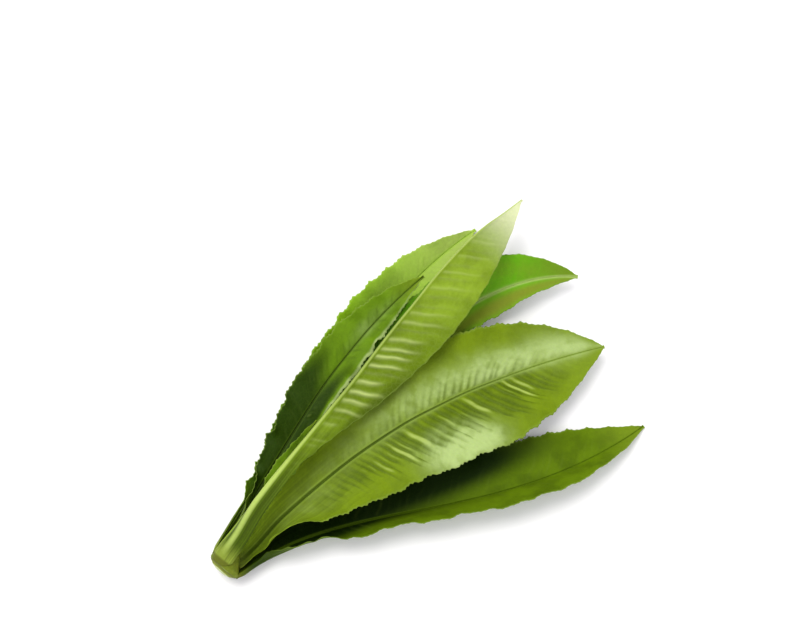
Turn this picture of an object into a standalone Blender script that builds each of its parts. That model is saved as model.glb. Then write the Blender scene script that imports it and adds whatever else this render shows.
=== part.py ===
"""One cut head of a-choy, the long pointed leaf lettuce, lying on a table.

The head is a short cut stem with long leaves that grow one inside the other round it. It lies on its
side. The leaves fan out over the table and lie on one another, the lowest on the table itself.

Metres, +Z up. The origin is on the table, under the middle of the head's box.
"""

import math
import random
from dataclasses import dataclass

import bmesh
import bpy
import numpy as np
from mathutils import Matrix, Vector

MM = 0.001

# The stem lies on its side, from its cut end towards the leaves.
STEM_HEADING = math.radians(49)
STEM_PITCH = math.radians(5)
STEM_CUT_HEIGHT = 12.0 * MM
STEM_SIDES = 24
STEM_TIP = 14 * MM
# Distance from the cut end, and radius there, in millimetres.
STEM_PROFILE = ((0, 9.8), (0.8, 10.6), (2.6, 10.8), (3.8, 9.7), (6.2, 7.6), (9.2, 5.2), (12, 2.8))
MERGE_DISTANCE = 0.01 * MM

# A leaf's root stands this far off the stem's side. Leaves lean out from the stem, the inner ones less.
ROOT_GAP = 0.5 * MM
LEAN_AT_CUT = math.radians(11)
LEAN_AT_TIP = math.radians(2)

# Blade and midrib. The midrib stands out under the blade: flat at the root, it swells, then thins to the tip.
BLADE_THICKNESS = 0.9 * MM
RIB_DEPTH = (1.0 * MM, 2.4 * MM, 0.4 * MM)
RIB_DEEPEST_AT = 0.16
RIB_HALF_WIDTH = (4.2 * MM, 1.0 * MM)
RIB_ROUNDNESS = 1.8
STALK_TAPER = 0.9
TIP_HALF_WIDTH = 0.9 * MM
TIP_BLUNTNESS = 2.3
# Inner leaves are finer: the last leaf's root has this share of the first one's sizes.
FINEST_ROOT = 0.2

# Up to here along it, a leaf turns from facing the stem to facing its own way, and folds along its midrib.
TURNED_BY = 0.3
FOLDED_BY = 0.42

# Facets: one row across the leaf for each step along it, and this many strips across.
ROW_STEP = 6.5 * MM
STRIPS = 8
RIB_COLUMN = 2 / STRIPS
RIB_SHARE_AT_MOST = 0.75

# The edge has a tooth every second row and goes up and down in slow waves. Both fade by the tip. They start
# where the blade widens: at the root for a leaf whose stalk value is TOOTHED_STALK, further out above that.
TOOTH = 2.0 * MM
SMALLEST_TOOTH = 0.55
TOOTH_HOOK = 0.35
WAVE_HEIGHT = 1.9 * MM
WAVE_LENGTH = 44 * MM
TOOTHED_STALK = 0.5
BARE_PER_STALK = 0.1
EDGE_GROWS_OVER = 0.09
EDGE_FADES_FROM = 0.72
EDGE_AT_TIP = 0.25

# Leaves lie on one another with this gap. Near its root a leaf is held by the stem and can't be lifted.
LEAF_GAP = 0.8 * MM
HELD_UNTIL = 14 * MM
FREE_FROM = 40 * MM
CELL = 2.5 * MM
MAP_HALF_CELLS = 160
LIFT_SPREAD = 3
SAMPLES_PER_FACET = 4

LEAF_ROUGHNESS = 0.45
STEM_ROUGHNESS = 0.5


@dataclass(frozen=True)
class Leaf:
    """One leaf's driving sizes. Angles are in degrees."""

    name: str
    root: float  # how far from the cut end it grows
    around: float  # place round the stem seen from the cut end: 0 on top, 90 to the right
    length: float
    half_width: tuple  # left and right of the midrib, seen from its upper side
    widest_at: float  # share of the length
    stalk: float  # how fast it narrows towards its root: 1 evenly, more for a long narrow stalk
    heading: tuple  # way that it points over the table, from +X, one and two thirds along and at its tip
    height: tuple  # of the midrib over the table where nothing lies under it, halfway and at its tip
    roll: tuple  # turn about the midrib, halfway and at the tip: 0 has the upper side up
    fold: tuple  # how far each half folds up from flat along the midrib, halfway and at the tip
    curl: tuple  # how much more each half bends by its edge, halfway and at the tip
    colour: tuple
    root_half_width: float = 6 * MM


DEEP_GREEN = (0.10, 0.24, 0.02)
LEAF_GREEN = (0.20, 0.36, 0.03)
PALE_GREEN = (0.36, 0.50, 0.10)
STEM_WHITE = (0.62, 0.66, 0.36)

# In the order in which they lie on one another, lowest first. The stem lies above those under it.
UNDER_STEM = (
    Leaf(
        "leaf_lower_right", root=3 * MM, around=113, length=270 * MM, half_width=(27 * MM, 25 * MM),
        widest_at=0.66, stalk=0.65, heading=(13, 17, 36), height=(0, 1 * MM),
        roll=(-28, -24), fold=(32, 28), curl=(4, 4), colour=DEEP_GREEN,
    ),
    Leaf(
        "leaf_lower_left", root=3 * MM, around=249, length=266 * MM, half_width=(21 * MM, 24 * MM),
        widest_at=0.6, stalk=1.4, heading=(57, 52, 34), height=(0, 2 * MM),
        roll=(8, 6), fold=(10, 16), curl=(6, 4), colour=LEAF_GREEN,
    ),
    Leaf(
        "leaf_bottom", root=3 * MM, around=179, length=228 * MM, half_width=(25 * MM, 25 * MM),
        widest_at=0.6, stalk=1.6, heading=(38, 30, 22), height=(2 * MM, 6 * MM),
        roll=(0, 0), fold=(4, 8), curl=(8, 8), colour=DEEP_GREEN,
    ),
    Leaf(
        "leaf_back", root=5 * MM, around=224, length=292 * MM, half_width=(25 * MM, 14 * MM),
        widest_at=0.74, stalk=1.8, heading=(48, 38, -6), height=(8 * MM, 14 * MM),
        roll=(2, 16), fold=(4, 22), curl=(4, 4), colour=LEAF_GREEN,
    ),
    Leaf(
        "leaf_broad", root=6 * MM, around=150, length=270 * MM, half_width=(35 * MM, 41 * MM),
        widest_at=0.66, stalk=0.9, heading=(38, 25, 13), height=(10 * MM, 14 * MM),
        roll=(-2, 4), fold=(7, 10), curl=(5, 2), colour=LEAF_GREEN,
    ),
)
OVER_STEM = (
    Leaf(
        "leaf_inner_left", root=7.5 * MM, around=264, length=212 * MM, half_width=(17 * MM, 11 * MM),
        widest_at=0.6, stalk=1.6, heading=(60, 53, 40), height=(12 * MM, 18 * MM),
        roll=(14, 10), fold=(10, 16), curl=(6, 4), colour=DEEP_GREEN,
    ),
    Leaf(
        "leaf_heart", root=9 * MM, around=330, length=96 * MM, half_width=(6 * MM, 5 * MM),
        widest_at=0.6, stalk=1.2, heading=(56, 57, 56), height=(20 * MM, 22 * MM),
        roll=(20, 0), fold=(22, 22), curl=(12, 8), colour=PALE_GREEN,
    ),
    Leaf(
        "leaf_top", root=3 * MM, around=340, length=294 * MM, half_width=(30 * MM, 15 * MM),
        widest_at=0.68, stalk=2.5, heading=(54, 51, 38), height=(22 * MM, 26 * MM),
        roll=(112, 112), fold=(80, 66), curl=(4, 2), colour=PALE_GREEN, root_half_width=9 * MM,
    ),
)


def smooth(x):
    """0 below 0, 1 above 1, and a smooth step between them."""
    x = np.clip(x, 0.0, 1.0)
    return x * x * (3 - 2 * x)


def in_stages(root, middle, tip, t, first_stage):
    """Goes from root to middle over the leaf's first stage, then on to tip."""
    onwards = (t - first_stage) / (1 - first_stage)
    return root + (middle - root) * smooth(t / first_stage) + (tip - middle) * smooth(onwards)


def through_thirds(values, t):
    """The cubic through four values: at the root, one and two thirds along, and at the tip."""
    return np.polyval(np.polyfit((0, 1 / 3, 2 / 3, 1), values, 3), t)


def hermite(start, end, start_slope, end_slope, x):
    """Cubic from start to end as x goes from 0 to 1."""
    return (
        start * (1 + 2 * x) * (1 - x) ** 2
        + start_slope * x * (1 - x) ** 2
        + end * x * x * (3 - 2 * x)
        - end_slope * x * x * (1 - x)
    )


def unit(vectors):
    """Vectors scaled to length 1."""
    return vectors / np.linalg.norm(vectors, axis=-1, keepdims=True)


def stem_directions():
    """Unit vectors along the stem, to its right, and up from it."""
    along = np.array((
        math.cos(STEM_HEADING) * math.cos(STEM_PITCH),
        math.sin(STEM_HEADING) * math.cos(STEM_PITCH),
        math.sin(STEM_PITCH),
    ))
    right = np.array((math.sin(STEM_HEADING), -math.cos(STEM_HEADING), 0.0))
    return along, right, np.cross(right, along)


def stem_radius(distance):
    """Radius of the stem's side at a distance from its cut end."""
    places, radii = zip(*STEM_PROFILE)
    return float(np.interp(distance, np.array(places) * MM, np.array(radii) * MM))


def leaf_outline(leaf, t):
    """Share of the full half width along a leaf: a narrow stalk, widest past halfway, then a point."""
    rise = math.sin(math.pi / 2 * min(t / leaf.widest_at, 1)) ** leaf.stalk
    past = max((t - leaf.widest_at) / (1 - leaf.widest_at), 0)
    return rise * (1 - past**TIP_BLUNTNESS)


def dilated_and_smoothed(values, spread):
    """Raises dips so that a smooth curve through the result is nowhere under the values."""
    padded = np.pad(values, spread, mode="edge")
    widest = np.array([padded[i : i + 2 * spread + 1].max() for i in range(len(values))])
    weights = np.array([math.comb(2 * spread, k) for k in range(2 * spread + 1)], float)
    padded = np.pad(widest, spread, mode="edge")
    return np.convolve(padded, weights / weights.sum(), mode="valid")


class LeafShape:
    """The surfaces of one leaf, as points for a place along it (t, 0 to 1) and across it (c, -1 to 1)."""

    def __init__(self, leaf):
        self.leaf = leaf
        self.rows = 2 * round(leaf.length / ROW_STEP / 2)
        self.lift = np.zeros(self.rows + 1)
        self.coarseness = 1 - (1 - FINEST_ROOT) * leaf.root / STEM_TIP
        draws = random.Random(leaf.name)
        self.wave_phase = [draws.uniform(0, 2 * math.pi) for _ in range(2)]
        self.tooth_size = [
            [draws.uniform(SMALLEST_TOOTH, 1) for _ in range(self.rows + 1)] for _ in range(2)
        ]
        self.place_midrib()

    def place_midrib(self):
        """Works out the midrib's points and, at each, the ways along, across and out of the upper side."""
        leaf = self.leaf
        along, right, up = stem_directions()
        turn = math.radians(leaf.around)
        outward = up * math.cos(turn) + right * math.sin(turn)
        root = along * leaf.root + outward * (stem_radius(leaf.root) + ROOT_GAP)
        root[2] += STEM_CUT_HEIGHT
        lean = LEAN_AT_CUT + (LEAN_AT_TIP - LEAN_AT_CUT) * leaf.root / STEM_TIP
        t = np.linspace(0, 1, self.rows + 1)

        root_heading = STEM_HEADING - lean * math.sin(turn)
        heading = through_thirds((root_heading, *np.radians(leaf.heading)), t)
        step = leaf.length / self.rows
        between = (heading[1:] + heading[:-1]) / 2
        x = root[0] + np.concatenate([[0], np.cumsum(np.cos(between) * step)])
        y = root[1] + np.concatenate([[0], np.cumsum(np.sin(between) * step)])

        middle, tip = leaf.height
        root_slope = math.tan(STEM_PITCH + lean * math.cos(turn)) * leaf.length / 2
        middle_slope = (tip - middle) / 2
        first = hermite(root[2], middle, root_slope, middle_slope, np.clip(t * 2, 0, 1))
        second = hermite(middle, tip, middle_slope, tip - middle, np.clip(t * 2 - 1, 0, 1))
        z = np.where(t < 0.5, first, second) + self.lift
        self.midrib = np.stack([x, y, z], axis=1)

        tangent = unit(np.gradient(self.midrib, axis=0))
        side = unit(np.cross(tangent, (0, 0, 1)))
        over = np.cross(side, tangent)
        roll = np.radians(in_stages(leaf.around - 180, *leaf.roll, t, TURNED_BY))[:, None]
        self.tangent = tangent
        self.across = side * np.cos(roll) - over * np.sin(roll)
        self.normal = over * np.cos(roll) + side * np.sin(roll)

    def half_width(self, half, t):
        """Width of the left (0) or right (1) half."""
        stalk = self.leaf.root_half_width * self.coarseness * (1 - t) ** STALK_TAPER
        return max(self.leaf.half_width[half] * leaf_outline(self.leaf, t), stalk, TIP_HALF_WIDTH)

    def rib_half_width(self, t):
        """Half width of the midrib, before the blade limits it."""
        root, tip = RIB_HALF_WIDTH
        return (root + (tip - root) * math.sqrt(t)) * self.coarseness

    def rib_depth(self, t):
        """How far the midrib stands out under the blade."""
        root, deepest, tip = RIB_DEPTH
        if t < RIB_DEEPEST_AT:
            depth = root + (deepest - root) * smooth(t / RIB_DEEPEST_AT)
        else:
            depth = deepest + (tip - deepest) * (t - RIB_DEEPEST_AT) / (1 - RIB_DEEPEST_AT)
        return depth * self.coarseness

    def edge_share(self, t):
        """How strong the teeth and waves are along the leaf."""
        bare_until = BARE_PER_STALK * (self.leaf.stalk - TOOTHED_STALK)
        starts = smooth((t - bare_until) / EDGE_GROWS_OVER)
        return starts * (1 - (1 - EDGE_AT_TIP) * smooth((t - EDGE_FADES_FROM) / (1 - EDGE_FADES_FROM)))

    def point(self, row, c, lower):
        """A point of the upper or lower side, by row and c: -1 at the left edge, 1 at the right."""
        leaf = self.leaf
        t = row / self.rows
        half, sign = (1, 1) if c > 0 else (0, -1)
        full = self.half_width(half, t)
        rib = min(self.rib_half_width(t), RIB_SHARE_AT_MOST * full)
        place = abs(c)
        out = rib * place / RIB_COLUMN
        if place > RIB_COLUMN:
            out = rib + (full - rib) * (place - RIB_COLUMN) / (1 - RIB_COLUMN)

        root_curl = math.degrees(full / (stem_radius(leaf.root) + ROOT_GAP))
        fold = math.radians(in_stages(0, *leaf.fold, t, FOLDED_BY))
        rate = math.radians(in_stages(root_curl, *leaf.curl, t, TURNED_BY)) / full
        angle = fold + rate * out
        sideways = (math.sin(angle) - math.sin(fold)) / rate
        upward = (math.cos(fold) - math.cos(angle)) / rate

        turns = leaf.length / WAVE_LENGTH * t
        wave = WAVE_HEIGHT * self.edge_share(t) * (out / full) ** 2
        wave *= math.sin(2 * math.pi * turns + self.wave_phase[half])
        forward = 0.0
        if place == 1 and row % 2 == 1:
            tooth = TOOTH * self.edge_share(t) * self.tooth_size[half][row]
            sideways += tooth * math.cos(angle)
            upward += tooth * math.sin(angle)
            forward = tooth * TOOTH_HOOK

        surface_normal = self.normal[row] * math.cos(angle) - self.across[row] * math.sin(angle) * sign
        at = self.midrib[row] + self.across[row] * sign * sideways + self.normal[row] * upward
        at = at + surface_normal * wave + self.tangent[row] * forward
        if lower:
            bulge = max(0.0, 1 - (out / (RIB_ROUNDNESS * rib)) ** 2)
            at = at - surface_normal * (BLADE_THICKNESS + self.rib_depth(t) * bulge)
        return at

    def facet_samples(self, lower):
        """Points all over the facets of one side, by row."""
        columns = np.linspace(-1, 1, STRIPS + 1)
        grid = np.array([[self.point(row, c, lower) for c in columns] for row in range(self.rows + 1)])
        shares = np.linspace(0, 1, SAMPLES_PER_FACET + 1)
        wide = np.concatenate([grid[:, :-1] * (1 - s) + grid[:, 1:] * s for s in shares], axis=1)
        ahead = np.concatenate([wide[1:], wide[-1:]])
        return np.concatenate([wide * (1 - s) + ahead * s for s in shares[:-1]], axis=1)

    def lie_on(self, pile):
        """Lifts the leaf clear of what lies under it, and lets it down until it touches."""
        from_root = np.linspace(0, self.leaf.length, self.rows + 1)
        looseness = smooth((from_root - HELD_UNTIL) / (FREE_FROM - HELD_UNTIL))
        sides = np.stack([self.facet_samples(lower) for lower in (True, False)])
        short_by = pile.height_at(sides).max(axis=0) - sides[..., 2].min(axis=0)
        needed = short_by.max(axis=1)
        wanted = np.where(looseness > 0, np.maximum(needed, 0), 0)
        lift = dilated_and_smoothed(wanted, LIFT_SPREAD)
        slack = (lift - needed)[looseness == 1].min()
        self.lift = looseness * (lift - max(slack, 0.0))
        self.place_midrib()


class Pile:
    """How high things lie over each square cell of the table."""

    def __init__(self):
        self.top = np.zeros((2 * MAP_HALF_CELLS, 2 * MAP_HALF_CELLS))

    def cells(self, points):
        """The cell that each point is over."""
        found = np.floor(points[..., :2] / CELL).astype(int) + MAP_HALF_CELLS
        return found[..., 0], found[..., 1]

    def height_at(self, points):
        """Height that a point has to be above, with the gap between leaves; none to the bare table."""
        height = self.top[self.cells(points)]
        return np.where(height > 0, height + LEAF_GAP, 0.0)

    def add(self, points):
        """Lays points on the pile, each over its own cell and those round it."""
        i, j = self.cells(points)
        for di in (-1, 0, 1):
            for dj in (-1, 0, 1):
                np.maximum.at(self.top, (i + di, j + dj), points[..., 2])

    def add_leaf(self, shape):
        """Lays both sides of a leaf on the pile."""
        self.add(shape.facet_samples(False))
        self.add(shape.facet_samples(True))


def new_material(name, colour, roughness):
    """A plain surface of one colour."""
    material = bpy.data.materials.new(name)
    material.use_nodes = True
    shader = material.node_tree.nodes["Principled BSDF"]
    shader.inputs["Base Color"].default_value = (*colour, 1.0)
    shader.inputs["Roughness"].default_value = roughness
    shader.inputs["Metallic"].default_value = 0.0
    return material


def new_object(name, bm, material, parent):
    """An object with the bmesh's shape."""
    mesh = bpy.data.meshes.new(name)
    bm.to_mesh(mesh)
    bm.free()
    mesh.materials.append(material)
    mesh.shade_smooth()
    obj = bpy.data.objects.new(name, mesh)
    bpy.context.scene.collection.objects.link(obj)
    obj.parent = parent
    return obj


def make_stem(parent):
    """The cut stem: a turned cone with a flat cut end and a shelf that the outer leaves stand on."""
    bm = bmesh.new()
    outline = [bm.verts.new((0, 0, 0))]
    outline += [bm.verts.new((radius * MM, 0, distance * MM)) for distance, radius in STEM_PROFILE]
    outline += [bm.verts.new((0, 0, STEM_TIP))]
    edges = [bm.edges.new(pair) for pair in zip(outline, outline[1:])]
    bmesh.ops.spin(
        bm, geom=outline + edges, cent=(0, 0, 0), axis=(0, 0, 1), angle=2 * math.pi,
        steps=STEM_SIDES, use_merge=True,
    )
    bmesh.ops.remove_doubles(bm, verts=bm.verts, dist=MERGE_DISTANCE)
    bmesh.ops.recalc_face_normals(bm, faces=bm.faces)
    along, right, up = (Vector(v) for v in stem_directions())
    place = Matrix((right, up, along)).transposed().to_4x4()
    place.translation = (0, 0, STEM_CUT_HEIGHT)
    stem = new_object("stem", bm, new_material("stem", STEM_WHITE, STEM_ROUGHNESS), parent)
    stem.matrix_basis = place
    return stem


def make_leaf(shape, parent):
    """A leaf: a thin slab in leaf coordinates (c, row, side), bent to shape and pressed on the table."""
    bm = bmesh.new()
    bmesh.ops.create_grid(bm, x_segments=STRIPS, y_segments=shape.rows, size=1)
    bmesh.ops.triangulate(bm, faces=bm.faces, quad_method="FIXED")
    made = bmesh.ops.extrude_face_region(bm, geom=bm.faces[:], use_keep_orig=True)
    raised = [v for v in made["geom"] if isinstance(v, bmesh.types.BMVert)]
    bmesh.ops.translate(bm, verts=raised, vec=(0, 0, 1))
    bmesh.ops.recalc_face_normals(bm, faces=bm.faces)
    for vert in bm.verts:
        c, place, side = vert.co
        row = round((place + 1) / 2 * shape.rows)
        column = round((c + 1) / 2 * STRIPS)
        vert.co = shape.point(row, 2 * column / STRIPS - 1, lower=side < 0.5)
        vert.co.z = max(vert.co.z, 0)
    leaf = shape.leaf
    return new_object(leaf.name, bm, new_material(leaf.name, leaf.colour, LEAF_ROUGHNESS), parent)


def stand_on_origin(head):
    """Moves the head so that the middle of its box is over the origin."""
    bpy.context.view_layer.update()
    corners = [o.matrix_world @ v.co for o in head.children for v in o.data.vertices]
    for k in (0, 1):
        values = [c[k] for c in corners]
        head.location[k] -= (min(values) + max(values)) / 2


def main():
    """Makes the stem, and lays the leaves on the pile one by one."""
    for obj in list(bpy.data.objects):
        bpy.data.objects.remove(obj)
    head = bpy.data.objects.new("head", None)
    bpy.context.scene.collection.objects.link(head)
    pile = Pile()
    stem = make_stem(head)
    for leaf in UNDER_STEM + OVER_STEM:
        if leaf is OVER_STEM[0]:
            pile.add(np.array([stem.matrix_basis @ v.co for v in stem.data.vertices]))
        shape = LeafShape(leaf)
        shape.lie_on(pile)
        make_leaf(shape, head)
        pile.add_leaf(shape)
    stand_on_origin(head)


main()
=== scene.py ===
"""The looks of one cut head of a-choy, the long pointed leaf lettuce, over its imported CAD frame.

Every leaf of the frame is replaced by a finer piece of the same form. The finer piece adds the side veins,
the puckers between them, small teeth and ruffles at the edge, the stalk's fibres and a rim that thins out.
The cut stem is replaced by one with a cut face, a bruised rim and the scars of leaves that were taken off.

Metres, +Z up, in the frame's own place: the origin is on the table, under the middle of the head's box.
"""

import logging
import math
import random
from dataclasses import dataclass, field
from enum import Enum

import bmesh
import bpy
import numpy as np
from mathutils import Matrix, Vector


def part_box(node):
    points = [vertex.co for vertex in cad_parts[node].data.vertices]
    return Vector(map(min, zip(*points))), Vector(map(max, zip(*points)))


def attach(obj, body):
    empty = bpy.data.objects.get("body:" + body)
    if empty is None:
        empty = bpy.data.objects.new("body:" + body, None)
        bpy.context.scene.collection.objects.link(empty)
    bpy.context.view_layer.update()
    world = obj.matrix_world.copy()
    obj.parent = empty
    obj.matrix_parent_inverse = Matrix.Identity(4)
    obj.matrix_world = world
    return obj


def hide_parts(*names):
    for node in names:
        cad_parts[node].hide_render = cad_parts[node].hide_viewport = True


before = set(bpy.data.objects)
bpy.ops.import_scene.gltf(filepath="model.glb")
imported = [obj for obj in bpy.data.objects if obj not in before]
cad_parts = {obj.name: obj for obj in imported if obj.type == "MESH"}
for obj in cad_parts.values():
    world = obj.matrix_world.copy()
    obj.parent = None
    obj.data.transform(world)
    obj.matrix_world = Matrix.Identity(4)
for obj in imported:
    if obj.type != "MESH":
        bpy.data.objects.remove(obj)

LOG = logging.getLogger("a-choy")
MM = 0.001
BODY = "root"
TURN = 2 * math.pi
TINY = 1e-6
MIX_INPUTS = (0, 6, 7)
MIX_OUTPUT = 2
FINE_DETAIL = (4.0, 0.6)

Colour = tuple[float, float, float]
Pair = tuple[float, float]
Socket = bpy.types.NodeSocket
Value = Socket | Vector | tuple[float, ...] | float


class Side(Enum):
    """The two faces of a leaf's blade."""

    UPPER = 1
    UNDER = 0


class Slot(Enum):
    """The record's material slots."""

    STEM = "stem"
    DEEP = "leaf_deep"
    GREEN = "leaf_green"
    PALE = "leaf_pale"


def smooth(x: np.ndarray) -> np.ndarray:
    """0 below 0, 1 above 1, and a smooth step between them."""
    x = np.clip(x, 0.0, 1.0)
    return x * x * (3 - 2 * x)


def grows(x: np.ndarray, span: Pair) -> np.ndarray:
    """0 up to the span's start, then a smooth step to 1 over the span's length."""
    return smooth((x - span[0]) / span[1])


def fades(outness: np.ndarray, fade: Pair, reach: np.ndarray) -> np.ndarray:
    """1 near the midrib, then a smooth step to 0, which starts and is as long as some shares of the reach."""
    return 1 - smooth((outness - fade[0] * reach) / (fade[1] * reach))


def draw_phases(draws: random.Random, count: int) -> np.ndarray:
    """Draws some angles from the whole turn."""
    return np.array([draws.uniform(0, TURN) for _ in range(count)])


def in_stages(
    root: float | np.ndarray, middle: float, tip: float, t: np.ndarray, first_stage: float
) -> np.ndarray:
    """Goes from root to middle over the leaf's first stage, then on to tip.

    Args:
        root: value at the root, one number or one for each place.
        middle: value at the end of the first stage.
        tip: value at the tip.
        t: places along the leaf, 0 to 1.
        first_stage: where the first stage ends.

    Returns:
        The value at each place.
    """
    onwards = (t - first_stage) / (1 - first_stage)
    return root + (middle - root) * smooth(t / first_stage) + (tip - middle) * smooth(onwards)


def hermite(start: float, end: float, start_slope: float, end_slope: float, x: np.ndarray) -> np.ndarray:
    """Cubic with the given ends and slopes.

    Args:
        start: value at 0.
        end: value at 1.
        start_slope: slope at 0.
        end_slope: slope at 1.
        x: places from 0 to 1.

    Returns:
        The value at each place.
    """
    return (
        start * (1 + 2 * x) * (1 - x) ** 2
        + start_slope * x * (1 - x) ** 2
        + end * x * x * (3 - 2 * x)
        - end_slope * x * x * (1 - x)
    )


def unit(vectors: np.ndarray) -> np.ndarray:
    """Vectors scaled to length 1."""
    return vectors / np.linalg.norm(vectors, axis=-1, keepdims=True)


def between_rows(values: np.ndarray, row: np.ndarray) -> np.ndarray:
    """A smooth curve through one value for each row, read at any place between the rows.

    Args:
        values: one vector for each row.
        row: places, in rows; past the ends the curve stays at its end values.

    Returns:
        One vector for each place.
    """
    ends = (2 * values[:1] - values[1:2], values, 2 * values[-1:] - values[-2:-1])
    padded = np.concatenate(ends)
    at = np.clip(row, 0, len(values) - 1)
    first = np.minimum(at.astype(int), len(values) - 2)
    f = (at - first)[..., None]
    before, start, end, after = (padded[first + k] for k in range(4))
    cubic = 3 * (start - end) + after - before
    square = 2 * before - 5 * start + 4 * end - after
    return start + f / 2 * (end - before + f * (square + f * cubic))


def dilated_and_smoothed(values: np.ndarray, spread: int) -> np.ndarray:
    """Raises dips so that a smooth curve through the result is nowhere under the values.

    Args:
        values: heights, one for each row.
        spread: rows on either side that a height reaches.

    Returns:
        The smoother heights.
    """
    padded = np.pad(values, spread, mode="edge")
    widest = np.array([padded[i : i + 2 * spread + 1].max() for i in range(len(values))])
    weights = np.array([math.comb(2 * spread, k) for k in range(2 * spread + 1)], float)
    padded = np.pad(widest, spread, mode="edge")
    return np.convolve(padded, weights / weights.sum(), mode="valid")


def link(name: str, data: bpy.types.ID) -> bpy.types.Object:
    """Puts a new object into the scene.

    Args:
        name: the object's name.
        data: its mesh, camera or light.

    Returns:
        The object.
    """
    made = bpy.data.objects.new(name, data)
    bpy.context.scene.collection.objects.link(made)
    return made


def to_mesh(bm: bmesh.types.BMesh, name: str) -> bpy.types.Mesh:
    """Makes a mesh of a bmesh, which is then freed.

    Args:
        bm: the bmesh.
        name: the mesh's name.

    Returns:
        The mesh.
    """
    mesh = bpy.data.meshes.new(name)
    bm.to_mesh(mesh)
    bm.free()
    return mesh


def corners(mesh: bpy.types.Mesh) -> np.ndarray:
    """A mesh's points.

    Args:
        mesh: the mesh.

    Returns:
        One row each of x, y and z.
    """
    flat = np.zeros(3 * len(mesh.vertices), np.float32)
    mesh.vertices.foreach_get("co", flat)
    return flat.reshape(-1, 3).astype(float).T


def dress(
    mesh: bpy.types.Mesh, points: np.ndarray, values: dict[str, np.ndarray],
    material: bpy.types.Material, node: str,
) -> bpy.types.Object:
    """Gives a mesh its last form and its finish, and puts it in its node's place.

    Args:
        mesh: the mesh.
        points: where each of its points comes to lie.
        values: what its material reads at each point, by name.
        material: its finish.
        node: the frame's node that it stands for.

    Returns:
        The finished piece.
    """
    mesh.vertices.foreach_set("co", points.astype(np.float32).ravel())
    for name, value in values.items():
        mesh.attributes.new(name, "FLOAT", "POINT").data.foreach_set("value", value.astype(np.float32))
    mesh.shade_smooth()
    mesh.update()
    mesh.materials.append(material)
    piece = link(mesh.name, mesh)
    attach(piece, BODY)
    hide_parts(node)
    return piece


@dataclass(frozen=True)
class StemForm:
    """How the cut stem lies, from its cut end towards the leaves, as in the frame.

    Its profile gives distances from the cut end and radii, in millimetres.
    """

    heading: float = math.radians(49)
    pitch: float = math.radians(5)
    cut_height: float = 12.0 * MM
    sides: int = 24
    tip: float = 14 * MM
    profile: tuple[Pair, ...] = (
        (0, 9.8), (0.8, 10.6), (2.6, 10.8), (3.8, 9.7), (6.2, 7.6), (9.2, 5.2), (12, 2.8),
    )

    def directions(self) -> tuple[np.ndarray, np.ndarray, np.ndarray]:
        """The stem's own directions.

        Returns:
            Unit vectors along the stem, to its right, and up from it.
        """
        level = math.cos(self.pitch)
        east, north = math.cos(self.heading), math.sin(self.heading)
        along = np.array((east * level, north * level, math.sin(self.pitch)))
        right = np.array((north, -east, 0.0))
        return along, right, np.cross(right, along)

    def radius(self, distance: float) -> float:
        """Radius of the stem's side at a distance from its cut end."""
        places, radii = zip(*self.profile)
        return float(np.interp(distance, np.array(places) * MM, np.array(radii) * MM))

    def box_middle(self) -> np.ndarray:
        """Middle of the stem's box.

        Returns:
            It, from the middle of the cut face.
        """
        along, right, up = self.directions()
        turns = TURN * np.arange(self.sides) / self.sides
        ring = np.cos(turns)[:, None] * right + np.sin(turns)[:, None] * up
        points = [np.zeros((1, 3)), along[None] * self.tip]
        points += [along * d * MM + ring * r * MM for d, r in self.profile]
        points = np.concatenate(points)
        return (points.min(axis=0) + points.max(axis=0)) / 2

    def cut_middle(self) -> np.ndarray:
        """Middle of the cut face in the frame."""
        low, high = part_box("stem")
        return np.array((low + high) / 2) - self.box_middle()


@dataclass(frozen=True)
class LeafSizes:
    """One leaf's driving sizes, as in the frame. Angles are in degrees, headings from +X over the table."""

    name: str
    slot: Slot
    root: float
    around: float
    length: float
    half_width: Pair
    widest_at: float
    stalk: float
    heading: tuple[float, float, float]
    height: Pair
    roll: Pair
    fold: Pair
    curl: Pair
    root_half_width: float = 6 * MM


@dataclass(frozen=True)
class Sheet:
    """The bent upper face of a leaf at many places."""

    points: np.ndarray
    normals: np.ndarray
    outward: np.ndarray
    t: np.ndarray
    out: np.ndarray
    full: np.ndarray
    rib: np.ndarray
    rib_bulge: np.ndarray


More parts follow.
